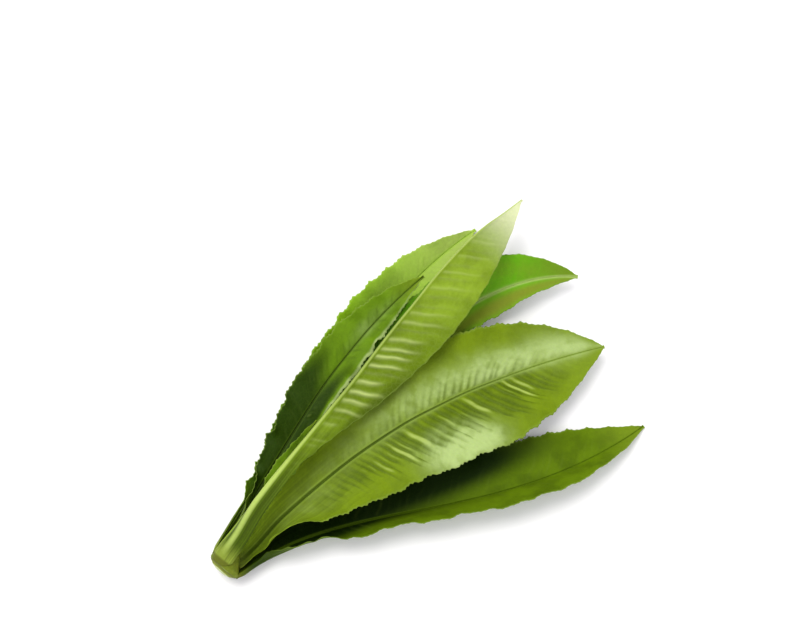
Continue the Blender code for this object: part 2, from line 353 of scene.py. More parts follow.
@dataclass
class LeafForm:
    """One leaf's form as the frame has it, at any place along it (row) and across it (c, -1 to 1)."""

    sizes: LeafSizes
    stem: StemForm
    root_gap: float = 0.5 * MM
    lean: Pair = (math.radians(11), math.radians(2))
    thickness: float = 0.9 * MM
    rib_depth: tuple[float, float, float] = (1.0 * MM, 2.4 * MM, 0.4 * MM)
    rib_deepest_at: float = 0.16
    rib_half_width: Pair = (4.2 * MM, 1.0 * MM)
    rib_roundness: float = 1.8
    stalk_taper: float = 0.9
    tip_half_width: float = 0.9 * MM
    tip_bluntness: float = 2.3
    finest_root: float = 0.2
    turned_by: float = 0.3
    folded_by: float = 0.42
    row_step: float = 6.5 * MM
    strips: int = 8
    rib_share_at_most: float = 0.75
    tooth: float = 2.0 * MM
    smallest_tooth: float = 0.55
    tooth_hook: float = 0.35
    wave_height: float = 1.9 * MM
    wave_length: float = 44 * MM
    toothed_stalk: float = 0.5
    bare_per_stalk: float = 0.1
    edge_grows_over: float = 0.09
    edge_fades_from: float = 0.72
    edge_at_tip: float = 0.25
    held_until: float = 14 * MM
    free_from: float = 40 * MM
    lift_spread: int = 3
    samples_per_facet: int = 4
    hollow: float = 1.0
    edge_shares: Pair = (1.0, 1.0)
    edge_shares_from: float = 0.16
    root_teeth: float = 0.0
    root_teeth_until: float = 0.3

    def __post_init__(self) -> None:
        """Draws the leaf's own waves and teeth, and places its midrib with nothing under it."""
        self.rows = 2 * round(self.sizes.length / self.row_step / 2)
        self.rib_column = 2 / self.strips
        self.lift = np.zeros(self.rows + 1)
        self.coarseness = 1 - (1 - self.finest_root) * self.sizes.root / self.stem.tip
        draws = random.Random(self.sizes.name)
        self.wave_phase = draw_phases(draws, 2)
        self.tooth_size = np.array(
            [[draws.uniform(self.smallest_tooth, 1) for _ in range(self.rows + 1)] for _ in range(2)]
        )
        self.place_midrib()

    def place_midrib(self) -> None:
        """Works out the midrib's points and, at each, the ways along, across and out of the upper side."""
        sizes, stem = self.sizes, self.stem
        along, right, up = stem.directions()
        turn = math.radians(sizes.around)
        outward = up * math.cos(turn) + right * math.sin(turn)
        root = along * sizes.root + outward * (stem.radius(sizes.root) + self.root_gap)
        root[2] += stem.cut_height
        lean = self.lean[0] + (self.lean[1] - self.lean[0]) * sizes.root / stem.tip
        t = np.linspace(0, 1, self.rows + 1)

        root_heading = stem.heading - lean * math.sin(turn)
        thirds = (root_heading, *np.radians(sizes.heading))
        heading = np.polyval(np.polyfit((0, 1 / 3, 2 / 3, 1), thirds, 3), t)
        step = sizes.length / self.rows
        between = (heading[1:] + heading[:-1]) / 2
        x = root[0] + np.concatenate([[0], np.cumsum(np.cos(between) * step)])
        y = root[1] + np.concatenate([[0], np.cumsum(np.sin(between) * step)])

        middle, tip = sizes.height
        root_slope = math.tan(stem.pitch + lean * math.cos(turn)) * sizes.length / 2
        middle_slope = (tip - middle) / 2
        first = hermite(root[2], middle, root_slope, middle_slope, np.clip(t * 2, 0, 1))
        second = hermite(middle, tip, middle_slope, tip - middle, np.clip(t * 2 - 1, 0, 1))
        z = np.where(t < 0.5, first, second) + self.lift
        self.midrib = np.stack([x, y, z], axis=1)

        tangent = unit(np.gradient(self.midrib, axis=0))
        side = unit(np.cross(tangent, (0, 0, 1)))
        over = np.cross(side, tangent)
        roll = np.radians(in_stages(sizes.around - 180, *sizes.roll, t, self.turned_by))[:, None]
        self.across = side * np.cos(roll) - over * np.sin(roll)
        self.normal = over * np.cos(roll) + side * np.sin(roll)

    def outline(self, t: np.ndarray) -> np.ndarray:
        """The blade's outline: a narrow stalk, widest past halfway, then a point.

        Args:
            t: places along the leaf, 0 to 1.

        Returns:
            Share of the full half width at each place.
        """
        widest = self.sizes.widest_at
        rise = np.sin(np.pi / 2 * np.minimum(t / widest, 1)) ** self.sizes.stalk
        past = np.maximum((t - widest) / (1 - widest), 0)
        return rise * (1 - past**self.tip_bluntness)

    def half_width(self, right: np.ndarray, t: np.ndarray, stalk_share: float = 1.0) -> np.ndarray:
        """Width of the left or right half.

        Args:
            right: true where the place is on the right half.
            t: places along the leaf, 0 to 1.
            stalk_share: how wide the stalk is, against the frame's.

        Returns:
            The half's width at each place.
        """
        blade = np.where(right, self.sizes.half_width[1], self.sizes.half_width[0]) * self.outline(t)
        stalk = self.sizes.root_half_width * stalk_share * self.coarseness * (1 - t) ** self.stalk_taper
        return np.maximum(np.maximum(blade, stalk), self.tip_half_width)

    def edge_share(self, t: np.ndarray) -> np.ndarray:
        """How strong the teeth and waves are along the leaf.

        Args:
            t: places along the leaf, 0 to 1.

        Returns:
            The share of their full size at each place.
        """
        bare_until = self.bare_per_stalk * (self.sizes.stalk - self.toothed_stalk)
        starts = smooth((t - bare_until) / self.edge_grows_over)
        fades = smooth((t - self.edge_fades_from) / (1 - self.edge_fades_from))
        return starts * (1 - (1 - self.edge_at_tip) * fades)

    def distance_out(self, full: np.ndarray, t: np.ndarray, c: np.ndarray) -> tuple[np.ndarray, np.ndarray]:
        """Distance from the midrib's middle along the blade, and the midrib's half width.

        Args:
            full: the half's width at each place.
            t: places along the leaf, 0 to 1.
            c: places across it, -1 to 1.

        Returns:
            The distance and the midrib's half width at each place.
        """
        wide, narrow = self.rib_half_width
        rib = (wide + (narrow - wide) * np.sqrt(t)) * self.coarseness
        rib = np.minimum(rib, self.rib_share_at_most * full)
        place = np.abs(c)
        blade = rib + (full - rib) * (place - self.rib_column) / (1 - self.rib_column)
        return np.where(place > self.rib_column, blade, rib * place / self.rib_column), rib

    def rib_depth_at(self, t: np.ndarray) -> np.ndarray:
        """How far the midrib stands out under the blade.

        Args:
            t: places along the leaf, 0 to 1.

        Returns:
            The distance at each place.
        """
        root, deepest, tip = self.rib_depth
        rising = root + (deepest - root) * smooth(t / self.rib_deepest_at)
        thinning = deepest + (tip - deepest) * (t - self.rib_deepest_at) / (1 - self.rib_deepest_at)
        return np.where(t < self.rib_deepest_at, rising, thinning) * self.coarseness

    def cross_section(
        self, t: np.ndarray, full: np.ndarray, out: np.ndarray
    ) -> tuple[np.ndarray, np.ndarray, np.ndarray]:
        """One half's section across the leaf: folded up at the midrib, and from there an arc.

        Args:
            t: places along the leaf, 0 to 1.
            full: the half's width at each place.
            out: distances from the midrib's middle along the blade.

        Returns:
            The slope, and how far to the side and how far up from the midrib each place is.
        """
        root_curl = np.degrees(full / (self.stem.radius(self.sizes.root) + self.root_gap))
        fold = np.radians(in_stages(0, *self.sizes.fold, t, self.folded_by))
        rate = np.radians(in_stages(root_curl, *self.sizes.curl, t, self.turned_by)) / full
        angle = fold + rate * out
        sideways = (np.sin(angle) - np.sin(fold)) / rate
        upward = (np.cos(fold) - np.cos(angle)) / rate
        return angle, sideways, upward

    def waves_and_teeth(
        self, row: np.ndarray, t: np.ndarray, c: np.ndarray, outness: np.ndarray
    ) -> tuple[np.ndarray, np.ndarray]:
        """The edge's waves, and the teeth on its odd rows.

        Args:
            row: places along the leaf in the frame's rows.
            t: the same, 0 to 1.
            c: places across it, -1 to 1.
            outness: share of the half's width.

        Returns:
            How far off the blade the wave takes each place, and how far out the tooth does.
        """
        right = c > 0
        own = np.where(right, self.edge_shares[1], self.edge_shares[0])
        onwards = smooth((t - self.edge_shares_from) / self.edge_shares_from)
        share = self.edge_share(t) * (1 - onwards * (1 - own))
        phase = np.where(right, self.wave_phase[1], self.wave_phase[0])
        turns = self.sizes.length / self.wave_length * t
        wave = self.wave_height * share * outness**2 * np.sin(TURN * turns + phase)

        peak = 2 * np.clip(row // 2, 0, self.rows // 2 - 1).astype(int) + 1
        height = np.where(right, self.tooth_size[1][peak], self.tooth_size[0][peak])
        flank = np.clip(1 - np.abs(np.clip(row, 0, self.rows) - peak), 0, 1)
        by_edge = np.clip((np.abs(c) - self.last_column()) / (1 - self.last_column()), 0, 1) ** 2
        tooth = self.tooth * share * height * flank**self.hollow * by_edge
        return wave, tooth * (1 + self.root_teeth * (1 - smooth(t / self.root_teeth_until)))

    def sheet(self, row: np.ndarray, c: np.ndarray, stalk_share: float = 1.0) -> Sheet:
        """The upper face at some places.

        Args:
            row: places along the leaf in the frame's rows; less than 0 is behind the root.
            c: places across it, -1 at the left edge to 1 at the right.
            stalk_share: how wide the stalk is, against the frame's.

        Returns:
            The bent face there.
        """
        row, c = np.broadcast_arrays(np.asarray(row, float), np.asarray(c, float))
        t = np.clip(row / self.rows, 0, 1)
        right = c > 0
        sign = np.where(right, 1.0, -1.0)
        full = self.half_width(right, t, stalk_share)
        out, rib = self.distance_out(full, t, c)
        angle, sideways, upward = self.cross_section(t, full, out)
        wave, tooth = self.waves_and_teeth(row, t, c, out / full)
        sideways = sideways + tooth * np.cos(angle)
        upward = upward + tooth * np.sin(angle)

        across = unit(between_rows(self.across, row))
        normal = unit(between_rows(self.normal, row))
        tangent = np.cross(normal, across)
        bent = unit(normal * np.cos(angle)[..., None] - across * (np.sin(angle) * sign)[..., None])
        outward = across * (np.cos(angle) * sign)[..., None] + normal * np.sin(angle)[..., None]
        behind = np.minimum(row, 0) * self.sizes.length / self.rows
        points = between_rows(self.midrib, row)
        points = points + across * (sign * sideways)[..., None] + normal * upward[..., None]
        points = points + bent * wave[..., None] + tangent * (tooth * self.tooth_hook + behind)[..., None]
        bulge = self.rib_depth_at(t) * np.maximum(0.0, 1 - (out / (self.rib_roundness * rib)) ** 2)
        return Sheet(points, bent, outward, t, out, full, rib, bulge)

    def last_column(self) -> float:
        """Place across of the frame's last column before the edge."""
        return 1 - 2 / self.strips

    def facet_samples(self, side: Side) -> np.ndarray:
        """Points all over the frame's facets of one side.

        Args:
            side: the upper side or the under side.

        Returns:
            The points, by row.
        """
        rows = np.arange(self.rows + 1)[:, None]
        sheet = self.sheet(rows, np.linspace(-1, 1, self.strips + 1)[None])
        grid = sheet.points
        if side is Side.UNDER:
            grid = grid - sheet.normals * (self.thickness + sheet.rib_bulge)[..., None]
        shares = np.linspace(0, 1, self.samples_per_facet + 1)
        wide = np.concatenate([grid[:, :-1] * (1 - s) + grid[:, 1:] * s for s in shares], axis=1)
        ahead = np.concatenate([wide[1:], wide[-1:]])
        return np.concatenate([wide * (1 - s) + ahead * s for s in shares[:-1]], axis=1)

    def lie_on(self, pile: "Pile") -> None:
        """Lifts the leaf clear of what lies under it, and lets it down until it touches.

        Args:
            pile: what lies on the table already.
        """
        from_root = np.linspace(0, self.sizes.length, self.rows + 1)
        looseness = smooth((from_root - self.held_until) / (self.free_from - self.held_until))
        sides = np.stack([self.facet_samples(side) for side in (Side.UNDER, Side.UPPER)])
        short_by = pile.height_at(sides).max(axis=0) - sides[..., 2].min(axis=0)
        needed = short_by.max(axis=1)
        wanted = np.where(looseness > 0, np.maximum(needed, 0), 0)
        lift = dilated_and_smoothed(wanted, self.lift_spread)
        slack = (lift - needed)[looseness == 1].min()
        self.lift = looseness * (lift - max(slack, 0.0))
        self.place_midrib()


@dataclass
class Pile:
    """How high things lie over each square cell of the table."""

    cell: float = 2.5 * MM
    half_cells: int = 160
    leaf_gap: float = 0.8 * MM
    top: np.ndarray = field(init=False)

    def __post_init__(self) -> None:
        """Starts with a bare table."""
        self.top = np.zeros((2 * self.half_cells, 2 * self.half_cells))

    def cells(self, points: np.ndarray) -> tuple[np.ndarray, np.ndarray]:
        """The cell that each point is over."""
        found = np.floor(points[..., :2] / self.cell).astype(int) + self.half_cells
        return found[..., 0], found[..., 1]

    def height_at(self, points: np.ndarray) -> np.ndarray:
        """Height that each point has to be above, with the gap between leaves; none to the bare table."""
        height = self.top[self.cells(points)]
        return np.where(height > 0, height + self.leaf_gap, 0.0)

    def add(self, points: np.ndarray) -> None:
        """Lays points on the pile, each over its own cell and those round it.

        Args:
            points: the points.
        """
        i, j = self.cells(points)
        for di in (-1, 0, 1):
            for dj in (-1, 0, 1):
                np.maximum.at(self.top, (i + di, j + dj), points[..., 2])

    def add_leaf(self, form: LeafForm) -> None:
        """Lays both sides of a leaf on the pile."""
        self.add(form.facet_samples(Side.UPPER))
        self.add(form.facet_samples(Side.UNDER))


@dataclass(frozen=True)
class Spot:
    """A soft patch of a blade: as a colour patch, painted light where its strength is positive and painted
    shade where it is negative; as a bold patch, where the relief shows most.
    """

    t: float
    c: float
    long: float
    wide: float
    strength: float


@dataclass(frozen=True)
class Relief:
    """How strongly one leaf's surface is worked, and its patches of painted light and painted shade."""

    vein_step: float = 6.5 * MM
    vein_height: float = 0.5 * MM
    vein_groove: float = 0.25 * MM
    vein_width: Pair = (0.95 * MM, 0.6 * MM)
    pucker: float = 0.5 * MM
    strong_share: float = 0.5
    reach: Pair = (0.7, 0.7)
    patchy: float = 0.6
    ruffle: float = 0.5 * MM
    tooth_hollow: float = 2.0
    small_tooth: float = 0.8 * MM
    wander: float = 0.12
    stalk_share: float = 1.1
    slant: Pair = (0.62, 0.25)
    broken_up: float = 0.55
    ridge_power: float = 0.8
    uneven: float = 0.35
    past_root: float = 0.8 * MM
    edge_shares: Pair = (1.0, 1.0)
    root_teeth: float = 0.0
    rib_spread: float = 1.25
    # Patches of painted light where positive (sheen, lit edges) and painted shade where negative (shade cast
    # by other leaves).
    spots: tuple[Spot, ...] = ()
    bold: tuple[Spot, ...] = ()


class Shader:
    """A Principled material and short ways to add nodes to it."""

    def __init__(self, name: str) -> None:
        """Starts a material.

        Args:
            name: the material's name.
        """
        self.material = bpy.data.materials.new(name)
        self.material.use_nodes = True
        self.tree = self.material.node_tree
        self.place = self.tree.nodes.new("ShaderNodeTexCoord").outputs["Object"]

    def put(self, socket: Socket, value: Value) -> None:
        """Links a socket to another, or gives it a number, a colour or a vector.

        Args:
            socket: the socket that gets the value.
            value: another socket, a number, a colour as a tuple, or a vector.
        """
        if isinstance(value, Socket):
            self.tree.links.new(value, socket)
        elif isinstance(value, tuple):
            socket.default_value = (*value, 1.0)
        else:
            socket.default_value = value

    def node(self, kind: str, inputs: dict[str | int, Value], **settings: str | bool) -> bpy.types.Node:
        """Adds a node.

        Args:
            kind: Blender's name of the node, without its first word.
            inputs: what each of its inputs gets.
            settings: its own settings.

        Returns:
            The node.
        """
        node = self.tree.nodes.new("ShaderNode" + kind)
        for name, value in settings.items():
            setattr(node, name, value)
        for name, value in inputs.items():
            self.put(node.inputs[name], value)
        return node

    def finish(self, inputs: dict[str, Value]) -> bpy.types.Material:
        """Sets the surface's own inputs.

        Args:
            inputs: what each of the Principled shader's inputs gets.

        Returns:
            The finished material.
        """
        surface = self.tree.nodes["Principled BSDF"]
        for name, value in inputs.items():
            self.put(surface.inputs[name], value)
        return self.material

    def attribute(self, name: str) -> Socket:
        """One of the mesh's own values."""
        return self.node("Attribute", {}, attribute_name=name).outputs["Fac"]

    def math(self, operation: str, first: Value, second: Value, clamp: bool = False) -> Socket:
        """Two values put together by Blender's operation of that name, kept from 0 to 1 if clamped."""
        return self.node("Math", {0: first, 1: second}, operation=operation, use_clamp=clamp).outputs[0]

    def times(self, first: Value, second: Value) -> Socket:
        """The product of two values."""
        return self.math("MULTIPLY", first, second)

    def plus(self, first: Value, second: Value) -> Socket:
        """The sum of two values."""
        return self.math("ADD", first, second)

    def band(self, value: Value, low: float, high: float) -> Socket:
        """0 up to low and 1 from high, or the other way round where high is the lower one."""
        inputs = {"Value": value, "From Min": low, "From Max": high}
        return self.node("MapRange", inputs, interpolation_type="SMOOTHSTEP").outputs["Result"]

    def mix(self, share: Value, first: Value, second: Value, blend: str = "MIX") -> Socket:
        """The first colour with a share of the second in it, by Blender's way to mix of that name."""
        inputs = dict(zip(MIX_INPUTS, (share, first, second)))
        return self.node("Mix", inputs, data_type="RGBA", blend_type=blend).outputs[MIX_OUTPUT]

    def noise(self, size: float, detail: float = 3.0, roughness: float = 0.5) -> Socket:
        """Cloudy values, with clouds of about the given size."""
        inputs = {"Vector": self.place, "Scale": 1 / size, "Detail": detail, "Roughness": roughness}
        return self.node("TexNoise", inputs).outputs["Fac"]

    def cells(self, size: float) -> Socket:
        """Distance to the walls between cells of about the given size."""
        inputs = {"Vector": self.place, "Scale": 1 / size}
        return self.node("TexVoronoi", inputs, feature="DISTANCE_TO_EDGE").outputs["Distance"]

    def bump(self, height: Value, depth: float, strength: float, under: Socket | None = None) -> Socket:
        """A fine relief for light alone.

        Args:
            height: the height, 0 to 1.
            depth: how deep 1 is, in metres.
            strength: how strongly it shows, 0 to 1.
            under: another relief's normal that this one lies on.

        Returns:
            The normal's socket.
        """
        inputs = {"Strength": strength, "Distance": depth, "Height": height}
        if under is not None:
            inputs["Normal"] = under
        return self.node("Bump", inputs).outputs["Normal"]


@dataclass(frozen=True)
class LeafFinish:
    """A leaf's colours and gloss. Colours are linear, and a band is where something starts and is full."""

    upper: Colour
    # Painted shade, in the valleys and the negative spots, and darker clouds of mottling, on either side.
    upper_shade_and_mottle: Colour
    under: Colour
    under_shade_and_mottle: Colour
    vein: Colour = (0.200, 0.290, 0.040)
    vein_share: Pair = (0.25, 0.75)
    # On most leaves a dark colour that paints the shade in the midrib's groove; on leaf_back a pale line.
    groove: Colour = (0.045, 0.080, 0.003)
    groove_band: Pair = (0.55, 0.85)
    groove_along: Pair = (1.0, 0.4)
    flank: Colour = (0.190, 0.280, 0.035)
    rib: Colour = (0.210, 0.300, 0.050)
    rib_share: float = 0.85
    stalk: Colour = (0.075, 0.120, 0.004)
    stalk_until: float = 0.22
    stalk_full: float = 0.3
    root: Colour = (0.190, 0.250, 0.030)
    root_until: float = 0.05
    tip: Colour = (0.160, 0.240, 0.012)
    tip_from: float = 0.86
    tip_share: float = 0.85
    # Painted highlight and sheen, put on where the spots are positive.
    pale: Colour = (0.300, 0.400, 0.130)
    pale_size: float = 9 * MM
    pale_band: Pair = (0.35, 0.6)
    pale_broken: float = 0.3
    pale_valley: float = 0.5
    edge: Colour = (0.190, 0.280, 0.040)
    edge_band: Pair = (0.95, 1.0)
    edge_share: float = 0.5
    # Painted highlight on the crests of the puckers.
    crest_highlight: Colour = (0.240, 0.330, 0.060)
    crest_highlight_band: Pair = (0.45, 0.95)
    crest_highlight_share: float = 0.15
    # How much painted shade lies in the valleys between the puckers.
    valley_shade: float = 0.6
    cloud_size: float = 16 * MM
    cloud_band: Pair = (0.35, 0.65)
    cloud_share: float = 0.35
    net_size: float = 3.0 * MM
    net_band: Pair = (0.12, 0.02)
    net_along: Pair = (0.2, 0.45)
    net_share: float = 0.05
    net_relief_band: Pair = (0.0, 0.35)
    net_relief: float = 0.25 * MM
    net_relief_share: float = 0.25
    streak_band: Pair = (0.5, 0.1)
    streak_share: float = 0.08
    cut: Colour = (0.105, 0.125, 0.012)
    cut_band: Pair = (0.006, 0.0)
    fine_size: float = 2.2 * MM
    fine_tone: float = 0.24
    fine_roughness: float = 0.16
    grain_size: float = 0.5 * MM
    grain_detail: float = 2.0
    grain_relief: float = 0.10 * MM
    grain_share: float = 0.15
    roughness: float = 0.55
    gloss: float = 0.06
    through: float = 0.10
    through_reach_mm: Colour = (1.2, 1.6, 0.4)

    def make(self, name: str) -> bpy.types.Material:
        """The leaf's material, which reads the values that its mesh carries.

        Args:
            name: the material's name.

        Returns:
            The material.
        """
        shader = Shader(name)
        # Painted shade in the valleys between the puckers.
        valley = shader.times(shader.attribute("valley"), self.valley_shade)
        fine = shader.noise(self.fine_size, *FINE_DETAIL)
        colour = self.blade_colour(shader, valley)
        colour = self.ends_colour(shader, colour)
        # Painted highlight and sheen in the pale colour, where the patches of painted light are positive.
        colour = shader.mix(shader.band(self.patchy(shader, valley), 0.0, 1.0), colour, self.pale)
        colour = self.stalk_colour(shader, colour)
        tone = shader.plus(1 - self.fine_tone / 2, shader.times(fine, self.fine_tone))
        grain = shader.noise(self.grain_size, self.grain_detail)
        grain = shader.bump(grain, self.grain_relief, self.grain_share)
        net = shader.band(shader.cells(self.net_size), *self.net_relief_band)
        rough = shader.times(fine, self.fine_roughness)
        return shader.finish({
            "Base Color": shader.mix(1.0, colour, tone, "MULTIPLY"),
            "Roughness": shader.plus(self.roughness - self.fine_roughness / 2, rough),
            "Normal": shader.bump(net, self.net_relief, self.net_relief_share, grain),
            "Subsurface Weight": self.through,
            "Subsurface Radius": Vector(self.through_reach_mm),
            "Subsurface Scale": MM,
            "Specular IOR Level": self.gloss,
        })

    def blade_colour(self, shader: Shader, valley: Socket) -> Socket:
        """The blade's colour on both sides, with painted shade in its valleys and negative spots, darker
        clouds of mottling, painted highlights on the pucker crests, and its veins.

        Args:
            shader: the material.
            valley: how much painted shade each valley gets.

        Returns:
            The colour.
        """
        upper = shader.attribute("upper")
        clouds = shader.band(shader.noise(self.cloud_size), *self.cloud_band)
        # Painted shade in the valleys and the negative spots, mixed with the darker clouds of mottling.
        deep = shader.plus(valley, shader.times(clouds, self.cloud_share))
        deep = shader.math("MAXIMUM", deep, shader.band(shader.attribute("pale"), 0.0, -1.0), clamp=True)
        top = shader.mix(deep, self.upper, self.upper_shade_and_mottle)
        bottom = shader.mix(deep, self.under, self.under_shade_and_mottle)
        colour = shader.mix(upper, bottom, top)
        # Painted highlight on the pucker crests.
        crest_highlight = shader.times(shader.band(shader.attribute("pucker"), *self.crest_highlight_band), self.crest_highlight_share)
        colour = shader.mix(crest_highlight, colour, self.crest_highlight)
        net = shader.band(shader.cells(self.net_size), *self.net_band)
        net = shader.times(net, shader.band(shader.attribute("along"), *self.net_along))
        colour = shader.mix(shader.times(net, self.net_share), colour, self.vein)
        on_top, beneath = self.vein_share
        share = shader.plus(beneath, shader.times(upper, on_top - beneath))
        return shader.mix(shader.times(shader.attribute("vein"), share), colour, self.vein)

    def ends_colour(self, shader: Shader, colour: Socket) -> Socket:
        """The blade's colour with its edge, its tip and its stalk.

        Args:
            shader: the material.
            colour: the blade's colour.

        Returns:
            The colour.
        """
        along = shader.attribute("along")
        edge = shader.times(shader.band(shader.attribute("across"), *self.edge_band), self.edge_share)
        colour = shader.mix(edge, colour, self.edge)
        tip = shader.times(shader.band(along, self.tip_from, 1.0), self.tip_share)
        colour = shader.mix(tip, colour, self.tip)
        stalk = shader.band(along, self.stalk_until, self.stalk_until * self.stalk_full)
        return shader.mix(stalk, colour, self.stalk)

    def patchy(self, shader: Shader, valley: Socket) -> Socket:
        """How much painted highlight each place gets: the patches of painted light, broken up by clouds and
        by the valleys.

        Args:
            shader: the material.
            valley: how much painted shade each valley gets.

        Returns:
            The share of the pale colour.
        """
        clouds = shader.band(shader.noise(self.pale_size), *self.pale_band)
        broken = shader.plus(1 - self.pale_broken, shader.times(clouds, self.pale_broken))
        broken = shader.math("SUBTRACT", broken, shader.times(valley, self.pale_valley))
        return shader.times(shader.attribute("pale"), broken)

    def stalk_colour(self, shader: Shader, colour: Socket) -> Socket:
        """The blade's colour with its midrib, its root, the stalk's streaks and the cut.

        Args:
            shader: the material.
            colour: the blade's colour.

        Returns:
            The colour.
        """
        along = shader.attribute("along")
        rib = shader.times(shader.attribute("rib"), self.rib_share)
        colour = shader.mix(rib, colour, self.rib_colour(shader))
        colour = shader.mix(shader.band(along, self.root_until, 0.0), colour, self.root)
        streak = shader.times(shader.attribute("streak"), shader.band(along, *self.streak_band))
        streak = shader.plus(1.0, shader.times(streak, self.streak_share))
        colour = shader.mix(1.0, colour, streak, "MULTIPLY")
        return shader.mix(shader.band(along, *self.cut_band), colour, self.cut)

    def rib_colour(self, shader: Shader) -> Socket:
        """The midrib's colour: on the upper side the groove's colour between the flanks, which is painted
        shade on most leaves, and a pale rib beneath.

        Args:
            shader: the material.

        Returns:
            The colour.
        """
        groove = shader.band(shader.attribute("rib"), *self.groove_band)
        groove = shader.times(groove, shader.band(shader.attribute("along"), *self.groove_along))
        return shader.mix(shader.attribute("upper"), self.rib, shader.mix(groove, self.flank, self.groove))


@dataclass(frozen=True)
class Slab:
    """A leaf's slab at each of its points: its own places, and the bent face there."""

    v: np.ndarray
    half: np.ndarray
    on_top: np.ndarray
    behind: np.ndarray
    sheet: Sheet
    along: np.ndarray
    outness: np.ndarray
    place: np.ndarray


@dataclass(frozen=True)
class Worked:
    """How much of a vein, of a pucker and of the valley beside a pucker is at each point."""

    vein: np.ndarray
    pucker: np.ndarray
    valley: np.ndarray


@dataclass
class LeafPiece:
    """A leaf's finer piece: the frame's form, with rows that follow the side veins.

    A pair that ends in span is where something starts and over how much it grows.
    """

    form: LeafForm
    relief: Relief
    finish: LeafFinish
    offset: np.ndarray
    rows_per_vein: int = 10
    rows_behind: int = 4
    column_width: float = 0.95 * MM
    least_columns: int = 28
    slant_span: Pair = (0.0, 0.1)
    fullest_bend_at: float = 0.7
    bend_power: int = 3
    strong_vein: Pair = (0.8, 1.15)
    faint_vein: Pair = (0.15, 0.5)
    ridge_heights: Pair = (0.3, 1.1)
    reaches: Pair = (0.6, 1.15)
    off_rib_span: Pair = (0.8, 0.9)
    relief_span: Pair = (0.10, 0.22)
    vein_fade: Pair = (0.5, 0.5)
    ridge_fade: Pair = (0.5, 0.55)
    square_to_veins: float = 0.85
    cell_length: float = 8.0 * MM
    cell_power: float = 0.6
    calm_at_tip: float = 0.5
    calm_span: Pair = (0.85, 0.15)
    valley_under: float = 0.7
    valley_span: Pair = (0.0, 0.8)
    ruffle_length: float = 17 * MM
    ruffle_power: int = 3
    second_ruffle: Pair = (0.5, 0.57)
    edge_thickness: float = 0.45
    root_swell: float = 1.7 * MM
    root_swell_until: float = 9 * MM
    root_round: float = 5 * MM
    root_round_power: float = 2.5
    root_round_until: float = 18 * MM
    grown_on: float = 0.75
    grown_on_until: float = 6 * MM
    groove_depth: float = 0.8 * MM
    groove_share: float = 0.5
    groove_span: Pair = (0.03, 0.1)
    groove_fades: float = 0.6
    patch_lengths: Pair = (41 * MM, 23 * MM)
    patch_widths: Pair = (37 * MM, 19 * MM)
    patch_shares: Pair = (0.32, 0.22)
    patch_bend: float = 2.0
    wander_length: float = 15 * MM
    wander_along: float = 9 * MM
    wander_from_rib: float = 8 * MM
    fibre_step: float = 1.5 * MM
    fibre_height: float = 0.06 * MM
    fibre_span: Pair = (0.12, 0.2)
    streak_steps: tuple[float, ...] = (5.3 * MM, 3.1 * MM, 1.9 * MM)
    small_tooth_rows: float = 0.5
    least_small_tooth: float = 0.35
    small_tooth_turn: float = 2.3
    small_tooth_hollow: float = 1.5
    small_tooth_rim: float = 0.1
    least_height: float = 0.05 * MM

    def __post_init__(self) -> None:
        """Draws the leaf's own veins."""
        sizes = self.form.sizes
        self.name = sizes.name.replace("leaf", "blade", 1)
        self.form.hollow = self.relief.tooth_hollow
        self.form.edge_shares = self.relief.edge_shares
        self.form.root_teeth = self.relief.root_teeth
        self.veins = round(sizes.length / self.relief.vein_step)
        self.rows = self.veins * self.rows_per_vein
        self.columns = 2 * max(self.least_columns // 2, round(max(sizes.half_width) / self.column_width))
        draws = random.Random(sizes.name + " veins")
        self.wander_phase, _ = draw_phases(draws, 2)
        self.strength = np.array([self.draw_strengths(draws) for _ in range(2)])
        self.starts = np.array([self.draw_starts(draws) for _ in range(2)])
        self.ridge = self.for_each_vein(draws, self.ridge_heights)
        self.cell_phase = self.for_each_vein(draws, (0, 1))
        self.vein_reach = self.for_each_vein(draws, self.reaches)
        self.ruffle_phase = draw_phases(draws, 4)
        self.patch_phase = draw_phases(draws, 4)

    def for_each_vein(self, draws: random.Random, limits: Pair) -> np.ndarray:
        """Draws a value for each vein of either half, and for the places past the last one."""
        return np.array([[draws.uniform(*limits) for _ in range(self.veins + 3)] for _ in range(2)])

    def draw_strengths(self, draws: random.Random) -> list[float]:
        """One side's vein strengths: strong ones, with faint ones among them."""
        strong, faint, share = self.strong_vein, self.faint_vein, self.relief.strong_share
        return [draws.uniform(*(strong if draws.random() < share else faint)) for _ in range(self.veins + 3)]

    def draw_starts(self, draws: random.Random) -> list[float]:
        """Where one side's veins leave the midrib, in steps of uneven length.

        Args:
            draws: the leaf's random draws.

        Returns:
            Each vein's place, in veins from the root.
        """
        low, high = 1 - self.relief.uneven, 1 + self.relief.uneven
        places = np.cumsum([0] + [draws.uniform(low, high) for _ in range(self.veins)])
        return list(places * self.veins / places[-1])

    def grid(self) -> bpy.types.Mesh:
        """A closed slab in leaf coordinates.

        Returns:
            Its mesh: x across from -1 to 1, y rows, z 0 under and 1 on top.
        """
        bm = bmesh.new()
        rows = self.rows + self.rows_behind
        bmesh.ops.create_grid(bm, x_segments=self.columns, y_segments=rows, size=1)
        made = bmesh.ops.extrude_face_region(bm, geom=bm.faces[:], use_keep_orig=True)
        raised = [v for v in made["geom"] if isinstance(v, bmesh.types.BMVert)]
        bmesh.ops.translate(bm, verts=raised, vec=(0, 0, 1))
        bmesh.ops.recalc_face_normals(bm, faces=bm.faces)
        bmesh.ops.translate(bm, verts=bm.verts, vec=(0, 1, 0))
        bmesh.ops.scale(bm, verts=bm.verts, vec=(1, rows / 2, 1))
        bmesh.ops.translate(bm, verts=bm.verts, vec=(0, -self.rows_behind, 0))
        return to_mesh(bm, self.name)

